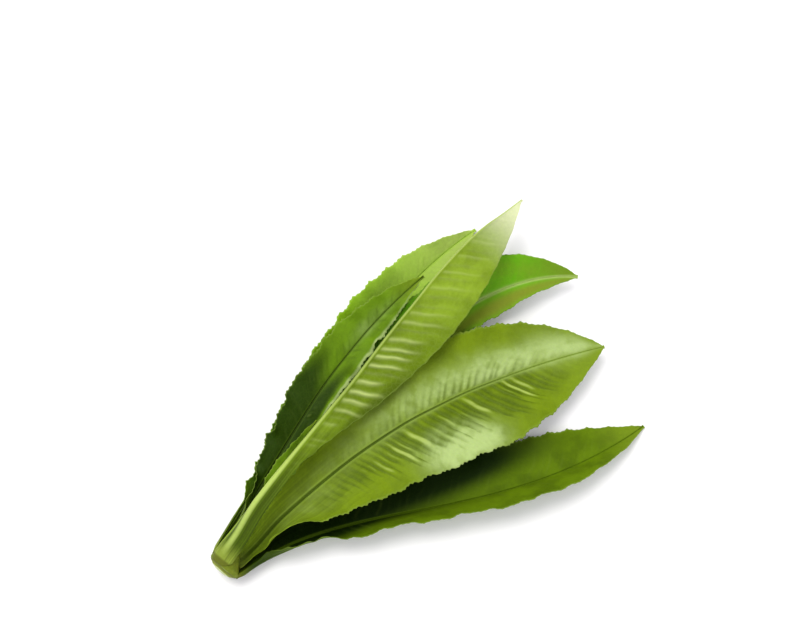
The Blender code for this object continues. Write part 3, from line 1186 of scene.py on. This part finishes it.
    def along_veins(self, c: np.ndarray, v: np.ndarray) -> np.ndarray:
        """Slants the slab's rows, so that they run out from the midrib as side veins do.

        Args:
            c: places across the slab, -1 to 1.
            v: places along it, 0 to 1.

        Returns:
            The places along the leaf, 0 to 1.
        """
        form = self.form
        full = form.half_width(c > 0, v, self.relief.stalk_share)
        out, _ = form.distance_out(full, v, c)
        slant, bend = self.relief.slant
        bend = bend * np.minimum(v / self.fullest_bend_at, 1) ** self.bend_power
        advance = out * (slant + bend * np.abs(c)) * grows(v, self.slant_span) / form.sizes.length
        ahead = np.maximum(1 - v, TINY)
        return 1 - ahead * np.exp(-advance / ahead)

    def bend(self, mesh: bpy.types.Mesh) -> Slab:
        """Finds where the slab's points come to lie on the leaf's bent face.

        Args:
            mesh: the flat slab.

        Returns:
            The slab, bent.
        """
        form, relief = self.form, self.relief
        c, row, on_top = corners(mesh)
        v = np.clip(row, 0, None) / self.rows
        behind = np.minimum(row, 0) / self.rows_behind * relief.past_root
        near_end = 1 - smooth(v * form.sizes.length / self.root_round_until)
        shift = behind + self.root_round * np.abs(c) ** self.root_round_power * near_end
        rows = (self.along_veins(c, v) + shift / form.sizes.length) * form.rows
        sheet = form.sheet(rows, c, relief.stalk_share)
        outness = np.clip((sheet.out - sheet.rib) / np.maximum(sheet.full - sheet.rib, TINY), 0, 1)
        along = sheet.t * form.sizes.length
        return Slab(v, (c > 0).astype(int), on_top, behind, sheet, along, outness, np.sign(c) * outness)

    def spotted(self, spots: tuple[Spot, ...], slab: Slab) -> np.ndarray:
        """Sum of some soft patches.

        Args:
            spots: the patches.
            slab: the bent slab.

        Returns:
            The patches' strength at each point.
        """
        total = np.zeros(len(slab.place))
        for spot in spots:
            away = ((slab.sheet.t - spot.t) / spot.long) ** 2 + ((slab.place - spot.c) / spot.wide) ** 2
            total += spot.strength * np.exp(-away)
        return total

    def patches(self, slab: Slab) -> np.ndarray:
        """How strongly the relief shows: in its bold patches, or else it comes and goes along the leaf.

        Args:
            slab: the bent slab.

        Returns:
            The share at each point, 1 at its strongest.
        """
        if self.relief.bold:
            bold = np.clip(self.spotted(self.relief.bold, slab), 0, 1)
            return 1 - self.relief.patchy * (1 - bold)
        along, out = slab.along, slab.sheet.out
        first, second = self.patch_phase[slab.half], self.patch_phase[slab.half + 2]
        (long, short), (wide, narrow) = self.patch_lengths, self.patch_widths
        bend = self.patch_bend * np.sin(TURN * out / wide)
        slow = np.sin(TURN * along / long + first + bend)
        quick = np.sin(TURN * (along / short + out / narrow) + second)
        slow_share, quick_share = self.patch_shares
        return 1 - self.relief.patchy * smooth(0.5 + slow_share * slow + quick_share * quick)

    def vein_count(self, slab: Slab) -> np.ndarray:
        """How many side veins lie between the root and each point.

        Args:
            slab: the bent slab.

        Returns:
            The count, which is whole on a vein.
        """
        out = slab.sheet.out
        phase = self.wander_phase + slab.along / self.wander_along
        wander = np.sin(TURN * out / self.wander_length + phase)
        steps = np.arange(self.veins + 1)
        left, right = (np.interp(slab.v * self.veins, starts, steps) for starts in self.starts)
        count = np.where(slab.half, right, left)
        count = count + self.relief.wander * wander * smooth(out / self.wander_from_rib)
        return np.clip(count, 0, self.veins + 1)

    def work(self, slab: Slab) -> Worked:
        """Works the side veins and the puckers between them into the blade.

        Args:
            slab: the bent slab.

        Returns:
            What is where.
        """
        sheet, half, outness, relief = slab.sheet, slab.half, slab.outness, self.relief
        count = self.vein_count(slab)
        between = count - np.floor(count)
        interval = np.floor(count).astype(int)
        nearest = np.round(count).astype(int)
        off_rib = grows(sheet.out / sheet.rib, self.off_rib_span)
        grown = grows(sheet.t, self.relief_span)
        seen = self.patches(slab)
        reach = np.where(half, relief.reach[1], relief.reach[0])
        vein_reach = reach * self.vein_reach[half, nearest]
        ridge_reach = reach * self.vein_reach[half, interval]
        wide, narrow = relief.vein_width
        width = wide + (narrow - wide) * outness
        away = np.minimum(between, 1 - between) * relief.vein_step * self.square_to_veins
        vein = np.exp(-((away / width) ** 2)) * self.strength[half, nearest]
        vein *= off_rib * fades(outness, self.vein_fade, vein_reach) * grown * seen
        worked = off_rib * fades(outness, self.ridge_fade, ridge_reach) * grown * seen
        cell = np.abs(np.sin(np.pi * (sheet.out / self.cell_length + self.cell_phase[half, interval])))
        ridged = np.sin(np.pi * between) ** relief.ridge_power * self.ridge[half, interval]
        ridged *= 1 - relief.broken_up * (1 - cell**self.cell_power)
        pucker = ridged * worked * (1 - self.calm_at_tip * grows(sheet.t, self.calm_span))
        valley = np.clip(1 - ridged / self.valley_under, 0, 1) * grows(worked, self.valley_span)
        return Worked(vein, pucker, valley)

    def swell(self, slab: Slab, worked: Worked) -> np.ndarray:
        """How far puckers and the edge's ruffles take the whole blade off its bent face.

        Args:
            slab: the bent slab.
            worked: its veins and puckers.

        Returns:
            The distance at each point.
        """
        share = self.form.edge_share(slab.sheet.t) * slab.outness**self.ruffle_power
        first, second = self.ruffle_phase[slab.half], self.ruffle_phase[slab.half + 2]
        height, length = self.second_ruffle
        ruffle = np.sin(TURN * slab.along / self.ruffle_length + first)
        ruffle += height * np.sin(TURN * slab.along / (length * self.ruffle_length) + second)
        return self.relief.pucker * worked.pucker + self.relief.ruffle * share * ruffle

    def heights(self, slab: Slab, worked: Worked) -> np.ndarray:
        """How far each point is off the bent face, along its normal.

        Args:
            slab: the bent slab.
            worked: its veins and puckers.

        Returns:
            The distance at each point.
        """
        sheet, outness, relief = slab.sheet, slab.outness, self.relief
        swell = self.swell(slab, worked)
        stalk = 1 - grows(sheet.t, self.fibre_span)
        fibre = self.fibre_height * stalk * np.sin(TURN * sheet.out / self.fibre_step)
        near_root = 1 - smooth((slab.along + slab.behind) / self.root_swell_until)
        rib_middle = np.maximum(0, 1 - (sheet.out / (self.groove_share * sheet.rib)) ** 2) ** 2
        groove = self.groove_depth * rib_middle * grows(sheet.t, self.groove_span)
        groove = groove * (1 - self.groove_fades * sheet.t)
        thickness = self.form.thickness * (1 - (1 - self.edge_thickness) * outness**2)
        grown_on = 1 - smooth((slab.along + slab.behind + relief.past_root) / self.grown_on_until)
        bulge = thickness + sheet.rib_bulge + fibre
        raised = swell + self.root_swell * near_root * (1 - outness**2) - groove + fibre
        raised -= relief.vein_groove * worked.vein
        lowered = swell - bulge * (1 - self.grown_on * grown_on) - relief.vein_height * worked.vein
        return np.where(slab.on_top > 0.5, raised, lowered)

    def small_teeth(self, slab: Slab) -> np.ndarray:
        """Small sharp teeth between the edge's larger ones.

        Args:
            slab: the bent slab.

        Returns:
            The shift of each point.
        """
        phase = self.patch_phase[slab.half]
        count = slab.along / (self.small_tooth_rows * self.form.row_step) + phase
        saw = 1 - np.abs(2 * (count - np.floor(count)) - 1)
        least = self.least_small_tooth
        size = least + (1 - least) * np.abs(np.sin(self.small_tooth_turn * np.floor(count) + phase))
        depth = self.relief.small_tooth * self.form.edge_share(slab.sheet.t)
        depth = depth * saw**self.small_tooth_hollow * size
        depth *= np.clip((slab.outness - (1 - self.small_tooth_rim)) / self.small_tooth_rim, 0, 1)
        return slab.sheet.outward * depth[:, None]

    def values(self, slab: Slab, worked: Worked) -> dict[str, np.ndarray]:
        """The values that the leaf's material reads.

        Args:
            slab: the bent slab.
            worked: its veins and puckers.

        Returns:
            Each value's name and what it is at each point.
        """
        sheet = slab.sheet
        streak = sum(np.sin(TURN * (slab.place * sheet.full / step + sheet.t)) for step in self.streak_steps)
        return {
            "along": sheet.t,
            "across": slab.outness,
            "vein": np.clip(worked.vein, 0, 1),
            "pucker": worked.pucker,
            "valley": worked.valley,
            "upper": slab.on_top,
            "rib": np.maximum(0, 1 - (sheet.out / (self.relief.rib_spread * sheet.rib)) ** 2),
            # Painted light where positive and painted shade where negative, from the leaf's spots.
            "pale": self.spotted(self.relief.spots, slab),
            "streak": streak,
        }

    def build(self) -> bpy.types.Object:
        """Bends the slab to the leaf's form, works its surface and dresses it.

        Returns:
            The finished piece.
        """
        mesh = self.grid()
        slab = self.bend(mesh)
        worked = self.work(slab)
        sheet, sizes = slab.sheet, self.form.sizes
        points = sheet.points + sheet.normals * self.heights(slab, worked)[:, None] + self.offset
        points += self.small_teeth(slab)
        points[:, 2] = np.maximum(points[:, 2], self.least_height)
        material = self.finish.make(sizes.name)
        return dress(mesh, points, self.values(slab, worked), material, sizes.name)


@dataclass(frozen=True)
class StemFinish:
    """Colours of the cut stem, from the middle of its cut face to its bruised rim and its side."""

    pith: Colour = (0.42, 0.50, 0.22)
    ring: Colour = (0.55, 0.62, 0.32)
    ring_band: Pair = (0.45, 0.62)
    rind: Colour = (0.170, 0.210, 0.015)
    rind_band: Pair = (0.62, 0.74)
    bruise: Colour = (0.090, 0.105, 0.010)
    bruise_band: Pair = (0.84, 0.97)
    side: Colour = (0.120, 0.160, 0.010)
    side_band: Pair = (0.4, 0.7)
    cloud_size: float = 2.4 * MM
    cloud_wander: float = 0.16
    fine_size: float = 0.7 * MM
    fine_tone: float = 0.4
    cell_size: float = 0.5 * MM
    cell_relief: float = 0.15 * MM
    cell_share: float = 0.4
    roughness: float = 0.6
    gloss: float = 0.1
    through: float = 0.1

    def make(self, name: str) -> bpy.types.Material:
        """The stem's material, which reads the values that its mesh carries.

        Args:
            name: the material's name.

        Returns:
            The material.
        """
        shader = Shader(name)
        clouds = shader.noise(self.cloud_size, *FINE_DETAIL)
        outward = shader.times(shader.math("SUBTRACT", clouds, 0.5), self.cloud_wander)
        outward = shader.plus(shader.attribute("outward"), outward)
        colour = shader.mix(shader.band(outward, *self.ring_band), self.pith, self.ring)
        colour = shader.mix(shader.band(outward, *self.rind_band), colour, self.rind)
        colour = shader.mix(shader.band(outward, *self.bruise_band), colour, self.bruise)
        flank = shader.mix(shader.band(clouds, *self.side_band), self.side, self.rind)
        colour = shader.mix(shader.attribute("side"), colour, flank)
        fine = shader.times(shader.noise(self.fine_size), self.fine_tone)
        tone = shader.plus(1 - self.fine_tone / 2, fine)
        return shader.finish({
            "Base Color": shader.mix(1.0, colour, tone, "MULTIPLY"),
            "Normal": shader.bump(shader.cells(self.cell_size), self.cell_relief, self.cell_share),
            "Roughness": self.roughness,
            "Specular IOR Level": self.gloss,
            "Subsurface Weight": self.through,
            "Subsurface Scale": MM,
        })


@dataclass
class StemPiece:
    """The cut stem: turned, with a cut face that the knife left uneven and the scars of outer leaves.

    The knife's way is across its marks. A rim lobe is how often it comes, its phase and its share.
    """

    form: StemForm
    finish: StemFinish
    middle: np.ndarray
    steps: int = 96
    face_rings: int = 14
    side_rings: int = 30
    side_ring_power: float = 1.4
    merged_within: float = 0.005 * MM
    on_face_until: float = 0.01 * MM
    scars: int = 7
    scar_turn: float = 0.7
    scar_power: float = 0.7
    scar_depth: float = 0.5 * MM
    scar_reach: Pair = (0.8 * MM, 4.2 * MM)
    scar_fade: Pair = (0.3, 0.6)
    pith_dip: float = 0.35 * MM
    pith_until: float = 0.5
    ring_rise: float = 0.2 * MM
    ring_at: float = 0.66
    ring_width: float = 0.1
    knife_step: float = 1.3 * MM
    knife_depth: float = 0.06 * MM
    knife_way: Pair = (0.8, 0.6)
    rim_uneven: float = 0.18 * MM
    rim_power: int = 4
    rim_lobes: tuple[tuple[float, float, float], ...] = ((3, 1, 1.0), (7, 2, 0.6))
    dome: float = 3.2 * MM

    def outline(self) -> list[Pair]:
        """The turned outline, from the middle of the cut face to the tip.

        Returns:
            Radius and distance of each ring.
        """
        rim_distance, rim_radius = (value * MM for value in self.form.profile[0])
        places = [(rim_radius * k / self.face_rings, rim_distance) for k in range(self.face_rings + 1)]
        far = self.form.profile[-1][0] * MM
        for k in range(1, self.side_rings + 1):
            distance = far * (k / self.side_rings) ** self.side_ring_power
            places.append((self.form.radius(distance), distance))
        places.append((0.0, self.form.tip))
        return places

    def turned(self) -> bpy.types.Mesh:
        """Turns the outline about the stem's middle.

        Returns:
            The stem's mesh, z along the stem.
        """
        bm = bmesh.new()
        line = [bm.verts.new((radius, 0, distance)) for radius, distance in self.outline()]
        edges = [bm.edges.new(pair) for pair in zip(line, line[1:])]
        bmesh.ops.spin(
            bm, geom=line + edges, cent=(0, 0, 0), axis=(0, 0, 1), angle=TURN, steps=self.steps,
            use_merge=True,
        )
        bmesh.ops.remove_doubles(bm, verts=bm.verts, dist=self.merged_within)
        bmesh.ops.recalc_face_normals(bm, faces=bm.faces)
        return to_mesh(bm, "cut_stem")

    def scar_shrink(self, z: np.ndarray, turn: np.ndarray) -> np.ndarray:
        """Draws the side in where outer leaves were taken off.

        Args:
            z: distances from the cut end.
            turn: angles round the stem.

        Returns:
            Share of the radius that is left.
        """
        start, end = self.scar_reach
        from_start, from_end = self.scar_fade
        scarred = smooth((z - start * from_start) / start)
        scarred = scarred * (1 - smooth((z - end * from_end) / (end * (1 - from_end))))
        lobes = np.abs(np.sin(self.scars / 2 * turn + self.scar_turn)) ** self.scar_power
        return 1 - self.scar_depth / (self.form.profile[0][1] * MM) * scarred * (1 - lobes)

    def face_relief(
        self, x: np.ndarray, y: np.ndarray, outward: np.ndarray, turn: np.ndarray
    ) -> np.ndarray:
        """How deep the cut face lies: domed, with a sunk pith, a raised ring, knife marks and a wavy rim.

        Args:
            x: places across the face.
            y: places across the face, square to x.
            outward: share of the way to the rim.
            turn: angles round the stem.

        Returns:
            The depth at each point.
        """
        dip = self.pith_dip * (1 - smooth(outward / self.pith_until))
        rise = self.ring_rise * np.exp(-(((outward - self.ring_at) / self.ring_width) ** 2))
        over, along = self.knife_way
        knife = self.knife_depth * np.sin(TURN * (x * over + y * along) / self.knife_step)
        lobes = sum(share * np.sin(count * turn + phase) for count, phase, share in self.rim_lobes)
        uneven = self.rim_uneven * outward**self.rim_power * lobes
        return dip - rise + knife + uneven - self.dome * (1 - outward**2)

    def build(self) -> bpy.types.Object:
        """Turns the stem, works its surface, lays it in place and dresses it.

        Returns:
            The finished piece.
        """
        mesh = self.turned()
        x, y, z = corners(mesh)
        turn = np.arctan2(y, x)
        outward = np.hypot(x, y) / (self.form.profile[0][1] * MM)
        on_face = (z < self.on_face_until).astype(float)
        shrink = self.scar_shrink(z, turn)
        x, y = x * shrink, y * shrink
        z = z + on_face * self.face_relief(x, y, outward, turn)
        along, right, up = self.form.directions()
        points = np.outer(x, right) + np.outer(y, up) + np.outer(z, along) + self.middle
        values = {"outward": outward * on_face, "side": 1 - on_face}
        return dress(mesh, points, values, self.finish.make("cut stem"), "stem")


@dataclass
class Head:
    """The whole head: its leaves laid on the pile in order, and the stem."""

    stem: StemForm = field(default_factory=StemForm)
    under_stem: tuple[LeafSizes, ...] = (
        LeafSizes(
            "leaf_lower_right", Slot.DEEP, root=3 * MM, around=113, length=270 * MM,
            half_width=(27 * MM, 25 * MM), widest_at=0.66, stalk=0.65, heading=(13, 17, 36),
            height=(0, 1 * MM), roll=(-28, -24), fold=(32, 28), curl=(4, 4),
        ),
        LeafSizes(
            "leaf_lower_left", Slot.GREEN, root=3 * MM, around=249, length=266 * MM,
            half_width=(21 * MM, 24 * MM), widest_at=0.6, stalk=1.4, heading=(57, 52, 34),
            height=(0, 2 * MM), roll=(8, 6), fold=(10, 16), curl=(6, 4),
        ),
        LeafSizes(
            "leaf_bottom", Slot.DEEP, root=3 * MM, around=179, length=228 * MM,
            half_width=(25 * MM, 25 * MM), widest_at=0.6, stalk=1.6, heading=(38, 30, 22),
            height=(2 * MM, 6 * MM), roll=(0, 0), fold=(4, 8), curl=(8, 8),
        ),
        LeafSizes(
            "leaf_back", Slot.GREEN, root=5 * MM, around=224, length=292 * MM,
            half_width=(25 * MM, 14 * MM), widest_at=0.74, stalk=1.8, heading=(48, 38, -6),
            height=(8 * MM, 14 * MM), roll=(2, 16), fold=(4, 22), curl=(4, 4),
        ),
        LeafSizes(
            "leaf_broad", Slot.GREEN, root=6 * MM, around=150, length=270 * MM,
            half_width=(35 * MM, 41 * MM), widest_at=0.66, stalk=0.9, heading=(38, 25, 13),
            height=(10 * MM, 14 * MM), roll=(-2, 4), fold=(7, 10), curl=(5, 2),
        ),
    )
    over_stem: tuple[LeafSizes, ...] = (
        LeafSizes(
            "leaf_inner_left", Slot.DEEP, root=7.5 * MM, around=264, length=212 * MM,
            half_width=(17 * MM, 11 * MM), widest_at=0.6, stalk=1.6, heading=(60, 53, 40),
            height=(12 * MM, 18 * MM), roll=(14, 10), fold=(10, 16), curl=(6, 4),
        ),
        LeafSizes(
            "leaf_heart", Slot.PALE, root=9 * MM, around=330, length=96 * MM,
            half_width=(6 * MM, 5 * MM), widest_at=0.6, stalk=1.2, heading=(56, 57, 56),
            height=(20 * MM, 22 * MM), roll=(20, 0), fold=(22, 22), curl=(12, 8),
        ),
        LeafSizes(
            "leaf_top", Slot.PALE, root=3 * MM, around=340, length=294 * MM,
            half_width=(30 * MM, 15 * MM), widest_at=0.68, stalk=2.5, heading=(54, 51, 38),
            height=(22 * MM, 26 * MM), roll=(112, 112), fold=(80, 66), curl=(4, 2),
            root_half_width=9 * MM,
        ),
    )

    def stem_samples(self) -> np.ndarray:
        """The frame's stem points, placed as they were when the leaves were laid."""
        shift = self.offset()
        return np.array([v.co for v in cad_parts["stem"].data.vertices], float) - shift

    def offset(self) -> np.ndarray:
        """From the place where the leaves are laid, with the cut face over the origin, to the frame."""
        return self.stem.cut_middle() - np.array((0, 0, self.stem.cut_height))

    def forms(self) -> list[LeafForm]:
        """Lays the leaves on one another as in the frame.

        Returns:
            The leaves' forms, lowest first.
        """
        pile, laid = Pile(), []
        for sizes in self.under_stem + self.over_stem:
            if sizes is self.over_stem[0]:
                pile.add(self.stem_samples())
            form = LeafForm(sizes, self.stem)
            form.lie_on(pile)
            pile.add_leaf(form)
            laid.append(form)
        return laid

    def build(self) -> list[bpy.types.Object]:
        """Builds every piece of the head.

        Returns:
            The finished pieces.
        """
        pieces = [StemPiece(self.stem, StemFinish(), self.stem.cut_middle()).build()]
        for form in self.forms():
            relief, finish = LOOKS[form.sizes.name]
            pieces.append(LeafPiece(form, relief, finish, self.offset()).build())
            LOG.info("%s: %d points", pieces[-1].name, len(pieces[-1].data.vertices))
        return pieces


# Leaves in shade: the very dark shade colour and the dark stalk paint the shadow that leaf_broad casts on
# leaf_lower_right.
DEEP = LeafFinish(
    upper=(0.105, 0.180, 0.003), upper_shade_and_mottle=(0.007, 0.018, 0.001),
    under=(0.110, 0.180, 0.008), under_shade_and_mottle=(0.060, 0.105, 0.004),
    stalk=(0.022, 0.045, 0.0015), stalk_until=0.16, root=(0.075, 0.105, 0.006), root_until=0.04,
    flank=(0.085, 0.150, 0.004), groove=(0.050, 0.090, 0.002),
    vein_share=(0.1, 0.6), crest_highlight_share=0.0, valley_shade=0.05, net_share=0.0, gloss=0.03,
)
# Its very dark shade colour, put on by negative spots, paints the shade that leaf_top casts on
# leaf_inner_left.
MEDIUM = LeafFinish(
    upper=(0.115, 0.220, 0.005), upper_shade_and_mottle=(0.018, 0.042, 0.001),
    under=(0.110, 0.180, 0.008), under_shade_and_mottle=(0.060, 0.105, 0.004),
    flank=(0.060, 0.110, 0.006), groove=(0.020, 0.040, 0.001),
    vein_share=(0.04, 0.6), valley_shade=0.3, cloud_share=0.15, net_share=0.02,
)
# Its olive shade colour goes on the lower half of leaf_back through a negative spot: partly that half's own
# yellowish colour, partly painted shade.
SATURATED = LeafFinish(
    upper=(0.120, 0.360, 0.006), upper_shade_and_mottle=(0.180, 0.235, 0.015),
    under=(0.130, 0.210, 0.010), under_shade_and_mottle=(0.080, 0.140, 0.005),
    flank=(0.340, 0.460, 0.120), groove=(0.380, 0.500, 0.170), tip=(0.150, 0.240, 0.015),
    vein_share=(0.1, 0.6), crest_highlight_share=0.0, valley_shade=0.1,
)
# Its dark shade colour, put on the lower part of leaf_lower_left by a negative spot, paints the shade over
# that part.
LIGHT = LeafFinish(
    upper=(0.270, 0.510, 0.008), upper_shade_and_mottle=(0.030, 0.075, 0.002),
    under=(0.150, 0.240, 0.015), under_shade_and_mottle=(0.100, 0.170, 0.007),
    vein=(0.300, 0.470, 0.030), flank=(0.300, 0.470, 0.050), edge=(0.280, 0.450, 0.040),
    crest_highlight=(0.300, 0.500, 0.030), tip=(0.340, 0.440, 0.100), tip_from=0.6,
    valley_shade=0.15, cloud_share=0.15,
)
# Painted light and shade on leaf_broad: painted highlights on the pucker crests and in the pale sheen
# patches, painted shade in the valleys; its stalk colour is made lighter to paint light on the base, where
# leaf_top shades it.
GREEN = LeafFinish(
    upper=(0.140, 0.215, 0.003), upper_shade_and_mottle=(0.060, 0.100, 0.001),
    under=(0.130, 0.200, 0.008), under_shade_and_mottle=(0.080, 0.130, 0.004),
    pale=(0.350, 0.460, 0.160), crest_highlight=(0.360, 0.460, 0.100), stalk=(0.190, 0.290, 0.012),
    crest_highlight_share=0.75, valley_shade=0.85,
)
# On leaf_top the shade colour, put on the turned-down edge by a negative spot, paints shade there; the pale
# colour paints light on the stalk's lit edge and lit parts of the blade; the dark stalk is partly its own
# colour and partly painted shade.
PALE = LeafFinish(
    upper=(0.130, 0.200, 0.006), upper_shade_and_mottle=(0.080, 0.130, 0.004),
    under=(0.125, 0.200, 0.005), under_shade_and_mottle=(0.055, 0.090, 0.002),
    vein=(0.380, 0.470, 0.140), rib=(0.320, 0.420, 0.090), pale=(0.260, 0.390, 0.025),
    tip=(0.680, 0.720, 0.440), tip_from=0.82, stalk=(0.050, 0.085, 0.003), stalk_until=0.4,
    vein_share=(0.3, 0.95), crest_highlight_share=0.0, valley_shade=0.5, streak_share=0.12,
)
# Each leaf's spots paint light where positive (sheen, lit edges and parts) and shade where negative (the
# shade cast by the leaves over it).
LOOKS: dict[str, tuple[Relief, LeafFinish]] = {
    "leaf_lower_right": (
        Relief(
            pucker=0.12 * MM, vein_groove=0.03 * MM, small_tooth=1.0 * MM, root_teeth=2.5, rib_spread=0.8,
            edge_shares=(1.0, 0.35), stalk_share=1.5, past_root=2.6 * MM,
            spots=(
                Spot(0.1, 0.0, 0.16, 2.0, -1.5), Spot(0.25, -0.4, 0.3, 0.8, -1.0),
                Spot(0.5, -0.8, 0.3, 0.5, -1.0),
            ),
        ),
        DEEP,
    ),
    "leaf_lower_left": (
        Relief(
            pucker=0.3 * MM, vein_groove=0.15 * MM, ruffle=0.9 * MM, small_tooth=1.2 * MM,
            spots=(Spot(0.3, 0.0, 0.32, 1.5, -1.4), Spot(0.72, -0.5, 0.12, 0.5, -0.35)),
        ),
        LIGHT,
    ),
    "leaf_bottom": (Relief(), DEEP),
    "leaf_back": (
        Relief(
            pucker=0.12 * MM, vein_groove=0.06 * MM, vein_height=0.3 * MM, rib_spread=1.8,
            spots=(Spot(0.85, 0.6, 0.3, 0.45, -1.0),),
        ),
        SATURATED,
    ),
    "leaf_broad": (
        Relief(
            vein_step=5.2 * MM, vein_groove=0.35 * MM, pucker=1.0 * MM, small_tooth=1.2 * MM,
            strong_share=0.8, reach=(0.5, 0.9), patchy=0.9, wander=0.05, slant=(0.38, 0.9),
            broken_up=0.15, ridge_power=1.4, stalk_share=1.6, past_root=3.5 * MM,
            spots=(
                Spot(0.57, 0.75, 0.09, 0.4, 1.1), Spot(0.66, 0.8, 0.06, 0.25, 0.6),
                Spot(0.76, -0.2, 0.18, 0.35, 0.75), Spot(0.93, -0.4, 0.09, 0.6, 0.6),
                Spot(0.68, 0.12, 0.15, 0.13, -0.7), Spot(0.5, -0.2, 0.22, 0.4, 0.4),
                Spot(0.2, 0.3, 0.12, 0.6, 0.25),
            ),
            bold=(
                Spot(0.5, 0.5, 0.12, 0.5, 1.0), Spot(0.72, 0.4, 0.13, 0.5, 1.2),
                Spot(0.3, 0.5, 0.15, 0.5, 0.4), Spot(0.6, -0.2, 0.18, 0.3, 0.2),
            ),
        ),
        GREEN,
    ),
    "leaf_inner_left": (
        Relief(
            pucker=0.5 * MM, vein_groove=0.15 * MM, ruffle=1.6 * MM, small_tooth=1.3 * MM,
            spots=(
                Spot(0.2, 0.0, 0.3, 1.5, -1.4), Spot(0.5, 0.4, 0.2, 0.4, -0.7),
                Spot(0.6, 1.0, 0.35, 0.15, 1.8), Spot(0.45, -0.6, 0.2, 0.5, -1.0),
                Spot(0.75, -0.1, 0.15, 0.5, 0.5),
            ),
        ),
        MEDIUM,
    ),
    "leaf_heart": (Relief(vein_step=5 * MM, pucker=0.3 * MM), MEDIUM),
    "leaf_top": (
        Relief(
            vein_height=1.2 * MM, vein_width=(1.3 * MM, 0.9 * MM), pucker=0.4 * MM, small_tooth=0.3 * MM,
            strong_share=0.6, reach=(1.25, 0.8), patchy=0.85, wander=0.04, slant=(0.65, 0.1),
            broken_up=0.2, rib_spread=0.75, past_root=2.9 * MM, edge_shares=(0.45, 1.0),
            spots=(
                Spot(0.75, -0.5, 0.16, 1.2, 0.6), Spot(0.1, 0.8, 0.14, 0.4, 1.0),
                Spot(0.45, -1.0, 0.16, 0.35, -0.9), Spot(0.33, -0.3, 0.07, 0.6, 0.35),
            ),
            bold=(Spot(0.5, -0.4, 0.12, 0.6, 1.2), Spot(0.75, -0.3, 0.15, 0.4, 0.4)),
        ),
        PALE,
    ),
}


@dataclass(frozen=True)
class Studio:
    """The pale floor, the lights and the camera."""

    cut_middle: np.ndarray
    elevation: float = math.radians(75)
    lens: float = 120.0
    sensor: float = 36.0
    distance: float = 1.68
    aim: Pair = (107.96 * MM, 162.02 * MM)
    floor_size: float = 6.0
    floor_colour: Colour = (0.90, 0.90, 0.90)
    floor_roughness: float = 0.9
    key_strength: float = 1.7
    key_colour: Colour = (1.0, 0.985, 0.93)
    key_from: float = math.radians(135)
    key_elevation: float = math.radians(68)
    key_softness: float = math.radians(34)
    sky_colour: Colour = (0.96, 0.94, 1.0)
    sky_strength: float = 1.12

    def build(self) -> None:
        """Sets the whole studio up."""
        self.place_camera()
        self.lay_floor()
        self.light()

    def place_camera(self) -> None:
        """Looks down on the head from the front, as the photograph does."""
        data = bpy.data.cameras.new("camera")
        data.lens, data.sensor_width = self.lens, self.sensor
        camera = link("camera", data)
        aim = Vector((self.cut_middle[0] + self.aim[0], self.cut_middle[1] + self.aim[1], 0))
        back = Vector((0, -math.cos(self.elevation), math.sin(self.elevation)))
        camera.location = aim + back * self.distance
        camera.rotation_euler = back.to_track_quat("Z", "Y").to_euler()
        bpy.context.scene.camera = camera

    def lay_floor(self) -> None:
        """A plain pale floor."""
        bm = bmesh.new()
        bmesh.ops.create_grid(bm, x_segments=1, y_segments=1, size=self.floor_size / 2)
        mesh = to_mesh(bm, "floor")
        finish = {"Base Color": self.floor_colour, "Roughness": self.floor_roughness}
        mesh.materials.append(Shader("floor").finish(finish))
        link("floor", mesh)

    def light(self) -> None:
        """A soft key light from the upper left, and an even sky that fills the shadows."""
        data = bpy.data.lights.new("key", "SUN")
        data.energy, data.color, data.angle = self.key_strength, self.key_colour, self.key_softness
        key = link("key", data)
        level = math.cos(self.key_elevation)
        source = Vector((
            math.cos(self.key_from) * level, math.sin(self.key_from) * level, math.sin(self.key_elevation),
        ))
        key.rotation_euler = source.to_track_quat("Z", "Y").to_euler()
        world = bpy.data.worlds.new("sky")
        world.use_nodes = True
        sky = world.node_tree.nodes["Background"]
        sky.inputs["Color"].default_value = (*self.sky_colour, 1.0)
        sky.inputs["Strength"].default_value = self.sky_strength
        bpy.context.scene.world = world
        bpy.context.scene.view_settings.view_transform = "Standard"


def main() -> None:
    """Builds the studio and the head, and reports the pieces."""
    logging.basicConfig(level=logging.INFO, format="%(name)s: %(message)s")
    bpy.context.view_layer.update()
    head = Head()
    Studio(head.stem.cut_middle()).build()
    pieces = head.build()
    LOG.info("%d pieces", len(pieces))


if __name__ == "__main__":
    main()
